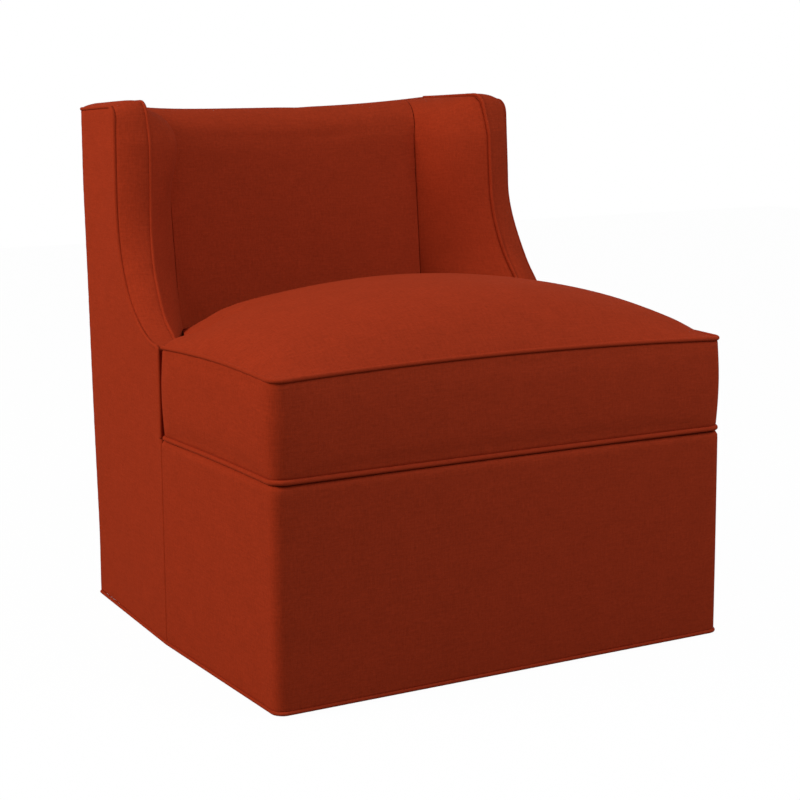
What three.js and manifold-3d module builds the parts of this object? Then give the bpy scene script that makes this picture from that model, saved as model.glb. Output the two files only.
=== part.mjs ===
// A slipper chair: a box base covered to the floor, a loose T-shaped seat cushion with a deep crown,
// and a low back whose two wings sweep down to the seat.
// Millimetres, +Z up. The chair faces -Y. Left and right are as seen from the front, with left on -X.
import * as THREE from 'three';
import { mergeVertices } from 'three/addons/utils/BufferGeometryUtils.js';
import Module from 'manifold-3d';

const wasm = await Module();
wasm.setup();

// Driving dimensions, taken on the outer face of the fabric. Depths run back from the front face.
const baseWidth = 706;
const seamDraw = 3.5;
const rearDraw = 24.5;
const seamDepth = 356;
const rearDepth = 648;
const baseHeight = 296;
const baseCornerRadius = 15;
const rearCornerRadius = 8;
const shoulderRadius = 14;
const cushionWeltRise = 129.5;
const wingTopHeight = 756;
const wingTopFall = 6;
const wingUprightHeight = 129.5;
const wingUprightDepth = 119;
const backTopDrop = 10;
const backFootDepth = 70;
const rearRakeShare = 0.035;

// Layers and clearances
const ease = 0.3;
const cover = 2;
const weltRadius = 2.5;
const weltSink = 1;
const weltSides = 6;
const plyThickness = 18;
const edgePadThickness = 9.7;
const wingFoamThickness = 18;
const backFoamThickness = 22;
const seamGap = ease / 2;
const overrun = 20;

// Glides under the base
const glideDrop = 6;
const glideRadius = 12;
const glideRim = 2;
const dustCoverThickness = 1;
const glideInset = 42;
const glideSides = 16;

// Levels worked out from the driving dimensions
const coverFoot = glideDrop + 2 * weltRadius + ease;
const deckHeight = glideDrop + baseHeight;
const frameFoot = coverFoot + ease + dustCoverThickness;
const padThickness = 15;
const deckClothThickness = 1.5;
const frameTop = deckHeight - deckClothThickness - 2 * ease - padThickness;
const seatWeltHeight = deckHeight + ease + weltRadius;
const swoopHeight = deckHeight + cushionWeltRise;
const backTopHeight = wingTopHeight - backTopDrop;
const seamHalf = baseWidth / 2 - seamDraw;
const rearHalf = baseWidth / 2 - rearDraw;
const wingTaper = Math.atan((seamHalf - rearHalf) / (rearDepth - seamDepth));

// Wing profile, seen from the side
const wingFrontSet = rearDepth - seamDepth - wingUprightDepth;
const swoopRise = wingTopHeight - wingUprightHeight - swoopHeight;
const wingLean = 7;
const wingToeRadius = 10;
const wingTopRadius = 20;
const wingFootThickness = 39;
const wingHeadThickness = 46;
const wingInnerLead = 24;
const wingLeadRise = 55;
const wingThicknessRise = 170;
const boxingCrown = 8;

// Inside of the back, seen from above and from the side
const backPanelWidth = 430;
const insideDepth = rearDepth - backFootDepth;
const insideBow = 6;
const insideLeanShare = 0.105;
const wingPanelCrown = 18;
const wingPanelRiseShare = 1.8;
const rollHeight = 46;
const rollShelf = 10;

// Cushion
const cushionSideSet = 3;
const cushionHalfWidth = baseWidth / 2 - cushionSideSet;
const cushionFrontSet = 1;
const cushionCornerRadius = 18;
const cushionSideTaper = 3;
const earCornerRadius = 9;
const notchRadius = 6;
const cushionRearCorner = 26;
const cushionRearGap = 10;
const boxingBulge = 2.2;
const sideDraw = 2.5;
const crownHeight = 86;
const crownAcrossShare = 0.74;
const crownFrontShare = 2.9;
const crownRearShare = 2.4;
const crownPeakShare = 0.36;
const crownEdgeShare = 14;
const crownNarrowing = 130;
const frontEdgeRise = 8.5;
const sideEdgeRise = 5;
const sideRiseShare = 6;

// Frame timber
const postWidth = 38;
const cornerPostWidth = 40;
const railThickness = 20;
const sideRailThickness = 22;
const sideRailHeight = 60;
const seatRailHeight = 68;
const topRailHeight = 40;
const topRailRise = 11.5;
const backApronHeight = 96;
const supportClear = 7;

// Springs and webbing
const springCount = 5;
const springMargin = 68.4;
const springWire = 3.6;
const springSides = 5;
const springSwing = 22;
const springBends = 10;
const springBendSteps = 3;
const springDrop = 12;
const clipWidth = 16;
const clipDepth = 9;
const clipHeight = 10;
const webWidth = 50;
const webThickness = 2;
const webHeadDrop = 4.6;
const webRowShares = [0.3, 0.61];

// Zip in the back of the cushion
const zipReach = 190;
const sliderWidth = 9;
const sliderHeight = 8;
const sliderThickness = 3.2;
const pullLength = 20;
const pullWidth = 6;
const pullThickness = 1.2;
const pullHole = 1.6;
const pullHoleSides = 8;
const pullLap = 1.5;
const zipRibHeight = 6;
const zipRibThickness = 1.2;

const quarter = Math.PI / 2;
const up = new THREE.Vector3(0, 0, 1);

const finishes = {
  fabric: { color: 0xa6391b, roughness: 0.94, metalness: 0 },
  welt: { color: 0xa6391b, roughness: 0.9, metalness: 0 },
  plywood: { color: 0xc8a273, roughness: 0.75, metalness: 0 },
  hardwood: { color: 0xb98a58, roughness: 0.7, metalness: 0 },
  foam: { color: 0xe9dfb4, roughness: 0.95, metalness: 0 },
  fibre: { color: 0xf2f1ec, roughness: 1, metalness: 0 },
  webbing: { color: 0x9a7b4c, roughness: 0.95, metalness: 0 },
  lining: { color: 0x1d1c1b, roughness: 0.95, metalness: 0 },
  steel: { color: 0x8d9094, roughness: 0.35, metalness: 1 },
  nylon: { color: 0x2b2b2c, roughness: 0.5, metalness: 0 },
  zip: { color: 0x7d2d18, roughness: 0.8, metalness: 0 },
};

const chair = new THREE.Group();

function place(name, geometry, finish) {
  const mesh = new THREE.Mesh(geometry, new THREE.MeshStandardMaterial(finishes[finish]));
  mesh.name = name;
  chair.add(mesh);
  return mesh;
}

// Makes one body of the triangles: corners are shared, slivers of no area go, and faces point out.
function closedBody(geometry) {
  const bare = new THREE.BufferGeometry();
  bare.setAttribute('position', geometry.getAttribute('position'));
  if (geometry.index) bare.setIndex(geometry.index);
  const merged = mergeVertices(bare);
  const corners = [];
  for (let i = 0; i < merged.index.count; i += 3) {
    const triangle = [merged.index.getX(i), merged.index.getX(i + 1), merged.index.getX(i + 2)];
    if (new Set(triangle).size === 3) corners.push(triangle);
  }
  const at = (i) => new THREE.Vector3().fromBufferAttribute(merged.getAttribute('position'), i);
  const volume = corners.reduce((sum, [a, b, c]) => sum + at(a).dot(at(b).cross(at(c))), 0);
  merged.setIndex(corners.flatMap(([a, b, c]) => (volume < 0 ? [a, c, b] : [a, b, c])));
  merged.computeVertexNormals();
  return merged;
}

// The same piece on the other side of the chair.
function mirrored(geometry) {
  return closedBody(geometry.clone().applyMatrix4(new THREE.Matrix4().makeScale(-1, 1, 1)));
}

function placePair(name, geometry, finish) {
  place(`${name}_right`, geometry, finish);
  place(`${name}_left`, mirrored(geometry), finish);
}

function toManifold(geometry) {
  const body = closedBody(geometry);
  return new wasm.Manifold(new wasm.Mesh({
    numProp: 3,
    vertProperties: new Float32Array(body.getAttribute('position').array),
    triVerts: new Uint32Array(body.index.array),
  }));
}

function fromManifold(solid) {
  const mesh = solid.getMesh();
  const geometry = new THREE.BufferGeometry();
  geometry.setAttribute('position', new THREE.BufferAttribute(new Float32Array(mesh.vertProperties), 3));
  geometry.setIndex([...mesh.triVerts]);
  return closedBody(geometry);
}

const joined = (geometries) => fromManifold(geometries.map(toManifold).reduce((a, b) => a.add(b)));
const trimmed = (geometry, tools) =>
  fromManifold(tools.map(toManifold).reduce((a, b) => a.subtract(b), toManifold(geometry)));

// A closed body between two grids of points that have the same rows and columns. The rows of a ring
// end where they start, so it has no walls there.
function between(front, back, ring = false) {
  const rows = front.length;
  const columns = front[0].length;
  const positions = [...front.flat(), ...back.flat()].flatMap((p) => [p.x, p.y, p.z]);
  const frontAt = (i, j) => i * columns + j;
  const backAt = (i, j) => rows * columns + i * columns + j;
  const triangles = [];
  const quad = (a, b, c, d) => triangles.push(a, b, c, a, c, d);
  for (let i = 0; i < rows - 1; i += 1) {
    for (let j = 0; j < columns - 1; j += 1) {
      quad(frontAt(i, j), frontAt(i, j + 1), frontAt(i + 1, j + 1), frontAt(i + 1, j));
      quad(backAt(i, j), backAt(i + 1, j), backAt(i + 1, j + 1), backAt(i, j + 1));
    }
    if (ring) continue;
    quad(frontAt(i, 0), frontAt(i + 1, 0), backAt(i + 1, 0), backAt(i, 0));
    quad(frontAt(i + 1, columns - 1), frontAt(i, columns - 1), backAt(i, columns - 1),
      backAt(i + 1, columns - 1));
  }
  for (let j = 0; j < columns - 1; j += 1) {
    quad(frontAt(0, j + 1), frontAt(0, j), backAt(0, j), backAt(0, j + 1));
    quad(frontAt(rows - 1, j), frontAt(rows - 1, j + 1), backAt(rows - 1, j + 1), backAt(rows - 1, j));
  }
  const geometry = new THREE.BufferGeometry();
  geometry.setAttribute('position', new THREE.Float32BufferAttribute(positions, 3));
  geometry.setIndex(triangles);
  return closedBody(geometry);
}

// The unit normal of a grid at each of its points. Grids are laid out so that it points out of the chair.
function gridNormals(grid) {
  const rows = grid.length - 1;
  const columns = grid[0].length - 1;
  return grid.map((row, i) => row.map((point, j) => {
    const along = grid[Math.min(i + 1, rows)][j].clone().sub(grid[Math.max(i - 1, 0)][j]);
    const across = grid[i][Math.min(j + 1, columns)].clone().sub(grid[i][Math.max(j - 1, 0)]);
    return along.cross(across).normalize();
  }));
}

// The grid moved along its normals by a distance, or by a distance for each row and column.
function movedGrid(grid, distance) {
  const normals = gridNormals(grid);
  const reach = typeof distance === 'function' ? distance : () => distance;
  return grid.map((row, i) => row.map((p, j) => p.clone().addScaledVector(normals[i][j], reach(i, j))));
}

const sunk = (grid, depth) => movedGrid(grid, -depth);

// A share of the way across an outline, from nothing at both ends to whole in the middle.
const arch = (share) => Math.sin(Math.PI * THREE.MathUtils.clamp(share, 0, 1));

// A body of one outline at two heights, which may differ in shape.
function lofted(lowOutline, low, highOutline, high) {
  const lift = (outline, height) => outline.map((p) => new THREE.Vector3(p.x, p.y, height));
  const shape = THREE.ShapeUtils.triangulateShape(lowOutline, []);
  const count = lowOutline.length;
  const positions = [...lift(lowOutline, low), ...lift(highOutline, high)].flatMap((p) => [p.x, p.y, p.z]);
  const triangles = shape.flatMap(([a, b, c]) => [a, c, b, a + count, b + count, c + count]);
  for (let i = 0; i < count; i += 1) {
    const next = (i + 1) % count;
    triangles.push(i, next, next + count, i, next + count, i + count);
  }
  const geometry = new THREE.BufferGeometry();
  geometry.setAttribute('position', new THREE.Float32BufferAttribute(positions, 3));
  geometry.setIndex(triangles);
  return closedBody(geometry);
}

function slab(outline, low, high) {
  return lofted(outline, low, outline, high);
}

function boxBetween(low, high) {
  const outline = [[low.x, low.y], [high.x, low.y], [high.x, high.y], [low.x, high.y]];
  return slab(outline.map(([x, y]) => new THREE.Vector2(x, y)), low.z, high.z);
}

// A path through given points, sampled at the points themselves.
class Route extends THREE.Curve {
  constructor(points) {
    super();
    this.points = points;
  }

  getPoint(t, target = new THREE.Vector3()) {
    const place = t * (this.points.length - 1);
    const before = Math.min(Math.floor(place), this.points.length - 2);
    return target.lerpVectors(this.points[before], this.points[before + 1], place - before);
  }

  getPointAt(u, target) {
    return this.getPoint(u, target);
  }

  getTangentAt(u, target = new THREE.Vector3()) {
    const last = this.points.length - 1;
    const here = Math.round(u * last);
    const before = this.points[Math.max(here - 1, 0)];
    const after = this.points[Math.min(here + 1, last)];
    return target.subVectors(after, before).normalize();
  }
}

// A round cord along a run of points.
function cordAlong(points, radius, sides) {
  const ring = Array.from({ length: sides }, (_, i) => {
    const turn = (i / sides) * 2 * Math.PI;
    return new THREE.Vector2(radius * Math.cos(turn), radius * Math.sin(turn));
  });
  return closedBody(new THREE.ExtrudeGeometry(new THREE.Shape(ring), {
    steps: points.length - 1,
    bevelEnabled: false,
    extrudePath: new Route(points),
  }));
}

// Points on an arc in a plane, both ends included.
function arcPoints(centre, radius, from, to, steps) {
  return Array.from({ length: steps + 1 }, (_, i) => {
    const turn = from + ((to - from) * i) / steps;
    return new THREE.Vector2(centre.x + radius.x * Math.cos(turn), centre.y + radius.y * Math.sin(turn));
  });
}

const round = (radius) => new THREE.Vector2(radius, radius);
const flipX = (p) => new THREE.Vector2(-p.x, p.y);

// A half outline on +X made whole: the mirror image follows, without the shared end points doubled.
function wholeOutline(half) {
  const mirror = half.slice().reverse().filter((p) => Math.abs(p.x) > seamGap).map(flipX);
  return [...half, ...mirror];
}

// Plan outline drawn in by a distance. The outline runs anticlockwise seen from above.
function insetOutline(outline, distance) {
  const count = outline.length;
  return outline.map((point, i) => {
    const before = outline[(i + count - 1) % count];
    const after = outline[(i + 1) % count];
    const a = point.clone().sub(before).normalize();
    const b = after.clone().sub(point).normalize();
    const inward = new THREE.Vector2(-a.y - b.y, a.x + b.x).normalize();
    const spread = Math.max(inward.dot(new THREE.Vector2(-a.y, a.x)), Math.SQRT1_2);
    return point.clone().addScaledVector(inward, distance / spread);
  });
}

const smooth = (t) => THREE.MathUtils.smoothstep(t, 0, 1);
const rearAt = (height) => rearDepth + (height - glideDrop) * rearRakeShare;

// Base cover: from one side seam round the front to the other, with a rounded shoulder at the deck.
const cornerSteps = 4;

// The right front corner of the plan, drawn in by a distance. It stays round, if only by the clearance.
function frontCorner(inset) {
  const radius = Math.max(baseCornerRadius - inset, ease);
  const corner = new THREE.Vector2(baseWidth / 2 - inset - radius, inset + radius);
  return arcPoints(corner, round(radius), -quarter, 0, cornerSteps);
}

function baseHalf(inset) {
  return [...frontCorner(inset), new THREE.Vector2(seamHalf - inset, seamDepth - seamGap)];
}

function baseRow(inset, height) {
  const half = baseHalf(inset);
  const left = half.slice().reverse().map(flipX);
  return [...left, ...half].map((p) => new THREE.Vector3(p.x, p.y, height));
}

const shoulderSteps = 4;

function baseFace(inset) {
  const rows = [baseRow(inset, coverFoot)];
  for (let i = 0; i <= shoulderSteps; i += 1) {
    const turn = (quarter * i) / shoulderSteps;
    const radius = shoulderRadius - inset;
    rows.push(baseRow(shoulderRadius - radius * Math.cos(turn),
      deckHeight - shoulderRadius + radius * Math.sin(turn)));
  }
  return rows;
}

place('base_cover', between(baseFace(0), baseFace(cover)), 'fabric');

// The whole footprint, which the bottom welt and the dust cover follow.
function footprint(inset) {
  const rear = rearAt(glideDrop);
  const rearCorner = new THREE.Vector2(rearHalf - rearCornerRadius, rear - rearCornerRadius);
  return wholeOutline([
    new THREE.Vector2(0, inset),
    ...baseHalf(inset),
    ...arcPoints(rearCorner, round(rearCornerRadius - inset), 0, quarter, cornerSteps),
    new THREE.Vector2(0, rear - inset),
  ]);
}

// Turns a closed outline into a run of points that starts and ends at the middle of the back,
// where the two ends of the cord butt with a small gap.
function openLoop(outline, height) {
  const start = outline.findIndex((p) => p.x === 0 && p.y > seamDepth);
  const turned = [...outline.slice(start + 1), ...outline.slice(0, start)];
  const ends = [-seamGap, seamGap].map((x) => new THREE.Vector2(x, outline[start].y));
  return [ends[0], ...turned, ends[1]].map((p) => new THREE.Vector3(p.x, p.y, height(p)));
}

place('base_welt', cordAlong(openLoop(footprint(0), () => glideDrop + weltRadius), weltRadius, weltSides),
  'welt');
place('dust_cover', slab(footprint(weltRadius + 2 * ease), coverFoot, coverFoot + dustCoverThickness),
  'lining');

// Glides: a domed nylon button with a flat face to stand on.
function glide() {
  const top = coverFoot - ease;
  const profile = [
    [0, 0],
    [glideRadius - glideRim, 0],
    [glideRadius, glideRim],
    [glideRadius, top],
    [0, top],
  ].map(([r, h]) => new THREE.Vector2(r, h));
  return closedBody(new THREE.LatheGeometry(profile, glideSides).rotateX(quarter));
}

const glideSpots = {
  front_right: [baseWidth / 2 - glideInset, glideInset],
  front_left: [glideInset - baseWidth / 2, glideInset],
  rear_right: [rearHalf - glideInset, rearDepth - glideInset],
  rear_left: [glideInset - rearHalf, rearDepth - glideInset],
};
for (const [corner, [x, y]] of Object.entries(glideSpots)) {
  place(`glide_${corner}`, glide().translate(x, y, 0), 'nylon');
}

// Wing planes: v runs back along the side from the seam, w runs in from the outer face.
const wingBack = new THREE.Vector3(-Math.sin(wingTaper), Math.cos(wingTaper), 0);
const wingOut = new THREE.Vector3(Math.cos(wingTaper), Math.sin(wingTaper), 0);

function wingPoint(v, w, height) {
  return new THREE.Vector3(seamHalf, seamDepth, height)
    .addScaledVector(wingBack, v)
    .addScaledVector(wingOut, -w);
}

const rearSet = (height, inset) => (rearAt(height) - seamDepth - inset) / Math.cos(wingTaper);
const swoopSteps = 10;
const toeSteps = 3;
const headSteps = 4;

// The front and top edge of a wing as points of v and height, from the deck to the top of the back.
function wingEdge(inset, rearInset, foot = deckHeight + ease) {
  const toe = Math.max(wingToeRadius - inset, ease);
  const head = Math.max(wingTopRadius - inset, ease);
  const headFront = wingFrontSet + wingLean + inset;
  const swoopStart = wingToeRadius;
  const swoopRadii = new THREE.Vector2(wingFrontSet - swoopStart + inset, swoopRise + inset);
  const swoopCentre = new THREE.Vector2(swoopStart, swoopHeight + swoopRise);
  const rearTop = wingTopHeight - wingTopFall - inset;
  return [
    new THREE.Vector2(inset, foot),
    ...arcPoints(new THREE.Vector2(inset + toe, swoopHeight - inset - toe), round(toe), 2 * quarter, quarter,
      toeSteps),
    ...arcPoints(swoopCentre, swoopRadii, -quarter, 0, swoopSteps).slice(1),
    ...arcPoints(new THREE.Vector2(headFront + head, wingTopHeight - inset - head), round(head), 2 * quarter,
      quarter, headSteps),
    new THREE.Vector2((headFront + head + rearSet(rearTop, rearInset)) / 2,
      (wingTopHeight - inset + rearTop) / 2),
    new THREE.Vector2(rearSet(rearTop, rearInset), rearTop),
  ];
}

// A flat plate in the plane of the wing, from one depth under the outer face to another.
function wingPlate(outline, shallow, deep) {
  const plate = new THREE.ExtrudeGeometry(new THREE.Shape(outline), {
    depth: deep - shallow,
    bevelEnabled: false,
  });
  const basis = new THREE.Matrix4().makeBasis(wingBack, up, wingOut);
  plate.translate(0, 0, -deep).applyMatrix4(basis).translate(seamHalf, seamDepth, 0);
  return closedBody(plate);
}

const weltClear = weltSink + weltRadius + ease;
const rearSkin = cover + ease;
const padInset = cover + ease + edgePadThickness;
const plyOuter = cover + ease;
const plyInner = plyOuter + plyThickness;
const plyInset = padInset + ease + plyInner * Math.tan(wingTaper);

// The outside panel's front edge is on the seam below the deck, and clears the welt above it.
placePair('outside_wing_panel', wingPlate([
  new THREE.Vector2(seamGap, coverFoot),
  new THREE.Vector2(seamGap, deckHeight - shoulderRadius),
  ...wingEdge(weltClear, rearSkin),
  new THREE.Vector2(rearSet(coverFoot, rearSkin), coverFoot),
], 0, cover), 'fabric');
placePair('wing_frame', wingPlate([
  ...wingEdge(plyInset, rearSkin, frameFoot),
  new THREE.Vector2(rearSet(frameFoot, rearSkin), frameFoot),
], plyOuter, plyInner), 'plywood');

// How far the wing's inner edge lies from the outer face and ahead of the outer edge at a height.
function wingInnerOffset(height) {
  const share = smooth((height - swoopHeight) / wingThicknessRise);
  const thickness = THREE.MathUtils.lerp(wingFootThickness, wingHeadThickness, share);
  const rising = smooth((height - swoopHeight) / wingLeadRise);
  const fading = smooth((wingTopHeight - wingTopRadius - height) / wingLeadRise);
  return { thickness, lead: wingInnerLead * rising * fading };
}

const outerEdgeLine = (edge, depth) => edge.map((p) => wingPoint(p.x, depth, p.y));

// The inner edge is set back by the wing's taper, so the front of the wing is square to the chair.
function innerEdgeLine(edge, depth) {
  return edge.map((p) => {
    const { thickness, lead } = wingInnerOffset(p.y);
    const deep = thickness - depth;
    return wingPoint(p.x - lead + deep * Math.tan(wingTaper), deep, p.y);
  });
}

// Boxing: the band between a wing's two welts, crowned above the seat.
const boxingColumns = 5;

function boxingGrid(edge, margin, crown) {
  const outer = outerEdgeLine(edge, 0);
  const inner = innerEdgeLine(edge, 0);
  const flat = outer.map((start, i) => {
    const across = inner[i].clone().sub(start);
    const side = margin / across.length();
    return Array.from({ length: boxingColumns }, (_, j) => {
      const share = THREE.MathUtils.lerp(side, 1 - side, j / (boxingColumns - 1));
      return start.clone().addScaledVector(across, share);
    });
  });
  return movedGrid(flat, (i, j) => {
    const rising = smooth((flat[i][j].z - swoopHeight) / wingLeadRise);
    return crown * rising * arch(j / (boxingColumns - 1));
  });
}

placePair('wing_boxing', between(boxingGrid(wingEdge(0, rearSkin), weltClear, boxingCrown),
  boxingGrid(wingEdge(cover, rearSkin), weltClear, boxingCrown)), 'fabric');
placePair('wing_edge_pad', between(boxingGrid(wingEdge(cover + ease, rearSkin), weltClear, boxingCrown),
  boxingGrid(wingEdge(padInset, rearSkin), weltClear, 0)), 'foam');

const weltEdge = wingEdge(weltSink, rearSkin + weltRadius);
placePair('wing_outer_welt', cordAlong(outerEdgeLine(weltEdge, weltSink), weltRadius, weltSides), 'welt');
placePair('wing_inner_welt', cordAlong(innerEdgeLine(weltEdge, weltSink), weltRadius, weltSides), 'welt');

// Inside face of the back: upright behind the cushion, leaning above it, rolled over at the top.
const rollStart = backTopHeight - rollHeight;
const rollSteps = 5;
const faceSteps = 3;
const leanHeights = Array.from({ length: faceSteps + 1 }, (_, i) =>
  THREE.MathUtils.lerp(swoopHeight, rollStart, i / faceSteps));

const insideAt = (height) => insideDepth + Math.max(height - swoopHeight, 0) * insideLeanShare;

// One line up the inside face at a distance from the middle, set back by the bow there, through given
// heights and then over the roll.
function faceLine(x, heights) {
  const bow = insideBow * (1 - (2 * x / backPanelWidth) ** 2);
  const rollEnd = rearAt(backTopHeight) - rearSkin - weltClear;
  const face = heights.map((height) => new THREE.Vector3(x, insideAt(height) + bow, height));
  const start = insideAt(rollStart) + bow;
  const centre = new THREE.Vector2(rollEnd - rollShelf, rollStart);
  const roll = arcPoints(centre, new THREE.Vector2(centre.x - start, rollHeight), 2 * quarter, quarter,
    rollSteps).slice(1);
  return [...face, ...roll.map((p) => new THREE.Vector3(x, p.x, p.y)),
    new THREE.Vector3(x, rollEnd, backTopHeight)];
}

const backColumns = 9;
const panelHalf = backPanelWidth / 2;

function backGrid(halfWidth) {
  const lines = Array.from({ length: backColumns }, (_, j) =>
    faceLine(THREE.MathUtils.lerp(halfWidth, -halfWidth, j / (backColumns - 1)),
      [deckHeight + ease, ...leanHeights]));
  return lines[0].map((_, i) => lines.map((line) => line[i]));
}

const insideBack = backGrid(panelHalf - seamGap);
place('inside_back_panel', between(insideBack, sunk(insideBack, cover)), 'fabric');
place('back_foam', between(sunk(insideBack, cover + ease),
  sunk(insideBack, cover + ease + backFoamThickness)), 'foam');

// Inside face of a wing: lofted from the seam beside the back panel to the wing's inner edge, and stuffed
// fullest near the top.
const wingColumns = 5;

function pointAtHeight(line, height) {
  const next = line.findIndex((p) => p.z >= height);
  if (next <= 0) return line[0].clone();
  const low = line[next - 1];
  const high = line[next];
  return low.clone().lerp(high, (height - low.z) / (high.z - low.z));
}

function pointAlong(line, share) {
  const lengths = line.map((p, i) => (i ? p.distanceTo(line[i - 1]) : 0));
  const total = lengths.reduce((a, b) => a + b, 0);
  let left = share * total;
  for (let i = 1; i < line.length; i += 1) {
    if (left <= lengths[i]) return line[i - 1].clone().lerp(line[i], left / lengths[i]);
    left -= lengths[i];
  }
  return line[line.length - 1].clone();
}

function wingGrid() {
  const edge = innerEdgeLine(wingEdge(weltClear + ease, rearSkin + weltClear), 0);
  const upright = edge.filter((p) => p.z < rollStart);
  const over = [pointAtHeight(edge, rollStart), ...edge.slice(upright.length)];
  const seam = faceLine(panelHalf, [...upright.map((p) => p.z), rollStart]);
  const rolled = seam.length - upright.length - 1;
  const flat = seam.map((start, i) => {
    const end = i < upright.length ? upright[i] : pointAlong(over, (i - upright.length) / rolled);
    const across = end.clone().sub(start);
    const near = seamGap / across.length();
    return Array.from({ length: wingColumns }, (_, j) =>
      start.clone().addScaledVector(across, THREE.MathUtils.lerp(1, near, j / (wingColumns - 1))));
  });
  return movedGrid(flat, (i, j) => {
    const risen = Math.max(flat[i][j].z - swoopHeight, 0) / (backTopHeight - swoopHeight);
    return wingPanelCrown * arch(risen ** wingPanelRiseShare) * arch(j / (wingColumns - 1));
  });
}

const insideWing = wingGrid();
placePair('inside_wing_panel', between(insideWing, sunk(insideWing, cover)), 'fabric');

// The foam under it is trimmed where the edge pad and the ply lie.
const wingFoam = between(sunk(insideWing, cover + ease), sunk(insideWing, cover + ease + wingFoamThickness));
const trimFoot = deckHeight - overrun;
const trimClear = 0.9;
const padTrim = between(boxingGrid(wingEdge(-overrun, rearSkin, trimFoot), -overrun, 0),
  boxingGrid(wingEdge(padInset + trimClear, rearSkin, trimFoot), -overrun, 0));
const plyTrim = wingPlate([
  ...wingEdge(0, 0, trimFoot),
  new THREE.Vector2(rearSet(trimFoot, 0), trimFoot),
], -overrun, plyInner + ease);
placePair('wing_foam', trimmed(wingFoam, [padTrim, plyTrim]), 'foam');

// Outside back: a flat raked panel with a welt along its top edge.
const plumb = (outline) => outline.map(([x, y]) => new THREE.Vector2(x, y));
const sideHalfAt = (depth) => seamHalf - (depth - seamDepth) * Math.tan(wingTaper);

function rearPlate(halfInset, low, high, near, far) {
  const outlineAt = (height) => {
    const half = sideHalfAt(rearAt(height)) - halfInset;
    const y = rearAt(height);
    return plumb([[-half, y - near], [half, y - near], [half, y - far], [-half, y - far]]);
  };
  return lofted(outlineAt(low), low, outlineAt(high), high);
}

const rearTop = wingTopHeight - wingTopFall;
place('outside_back_panel', rearPlate(0, coverFoot, backTopHeight - weltClear, cover, 0), 'fabric');
const topWeltHalf = sideHalfAt(rearAt(rearTop)) - wingHeadThickness;
const topWeltDepth = rearAt(backTopHeight) - weltSink - weltRadius / 2;
place('back_top_welt', cordAlong([
  new THREE.Vector3(-topWeltHalf, topWeltDepth, backTopHeight - weltSink),
  new THREE.Vector3(0, topWeltDepth, backTopHeight - weltSink),
  new THREE.Vector3(topWeltHalf, topWeltDepth, backTopHeight - weltSink),
], weltRadius, weltSides), 'welt');

// Frame: plywood sides and front, hardwood posts and rails.
const sideFaceAt = (depth, inset) => THREE.MathUtils.mapLinear(depth, baseCornerRadius, seamDepth,
  baseWidth / 2, seamHalf) - inset;
const plyInnerAt = (depth) => sideHalfAt(depth) - plyInner / Math.cos(wingTaper);
const apronBack = plyOuter + plyThickness;
const frontApronHalf = sideFaceAt(apronBack, apronBack) - ease;
place('front_apron', boxBetween(new THREE.Vector3(-frontApronHalf, plyOuter, frameFoot),
  new THREE.Vector3(frontApronHalf, apronBack, frameTop)), 'plywood');

const sideApronRear = wingPoint(plyInset, plyInner, 0).y - ease;
placePair('side_apron', slab(plumb([
  [sideFaceAt(baseCornerRadius + ease, plyOuter), baseCornerRadius + ease],
  [sideFaceAt(seamDepth, plyOuter), seamDepth],
  [sideHalfAt(sideApronRear) - plyOuter, sideApronRear],
  [plyInnerAt(sideApronRear), sideApronRear],
  [sideFaceAt(baseCornerRadius + ease, apronBack), baseCornerRadius + ease],
]), frameFoot, frameTop), 'plywood');

const cornerPostFront = apronBack + ease;
placePair('corner_post', slab(plumb([
  [frontApronHalf - cornerPostWidth, cornerPostFront],
  [sideFaceAt(cornerPostFront, apronBack) - ease, cornerPostFront],
  [sideFaceAt(cornerPostFront + cornerPostWidth, apronBack) - ease, cornerPostFront + cornerPostWidth],
  [frontApronHalf - cornerPostWidth, cornerPostFront + cornerPostWidth],
]), frameFoot, frameTop), 'hardwood');

// The plane on the front of the webbing, which leans with the back.
const backing = insideBow + cover + 2 * ease + backFoamThickness;
const supportAt = (height) => THREE.MathUtils.mapLinear(height, deckHeight, rollStart,
  insideDepth + backing + ease, insideAt(rollStart) + backing + supportClear);
const postFrontAt = (height) => supportAt(height) + webThickness + ease;
const postRearAt = (height) => rearAt(height) - rearSkin;
const topRailTop = rollStart + topRailRise;

function backPostOutline(height) {
  const front = postFrontAt(height);
  const rear = postRearAt(height);
  return plumb([
    [plyInnerAt(front) - ease, front],
    [plyInnerAt(rear) - ease, rear],
    [plyInnerAt(rear) - ease - postWidth, rear],
    [plyInnerAt(rear) - ease - postWidth, front],
  ]);
}

placePair('back_post', lofted(backPostOutline(frameFoot), frameFoot, backPostOutline(topRailTop),
  topRailTop), 'hardwood');

// A rail between the two back posts.
function crossRail(low, high, frontAt, rearFaceAt) {
  const outlineAt = (height) => {
    const half = plyInnerAt(postRearAt(height)) - 2 * ease - postWidth;
    return plumb([[-half, frontAt(height)], [half, frontAt(height)], [half, rearFaceAt(height)],
      [-half, rearFaceAt(height)]]);
  };
  return lofted(outlineAt(low), low, outlineAt(high), high);
}

place('top_back_rail', crossRail(topRailTop - topRailHeight, topRailTop, postFrontAt, postRearAt),
  'hardwood');
place('seat_back_rail', crossRail(frameTop - seatRailHeight, frameTop, postFrontAt,
  (height) => postFrontAt(height) + railThickness), 'hardwood');
place('back_apron', crossRail(frameFoot, frameFoot + backApronHeight,
  (height) => postRearAt(height) - plyThickness, postRearAt), 'plywood');

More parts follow.
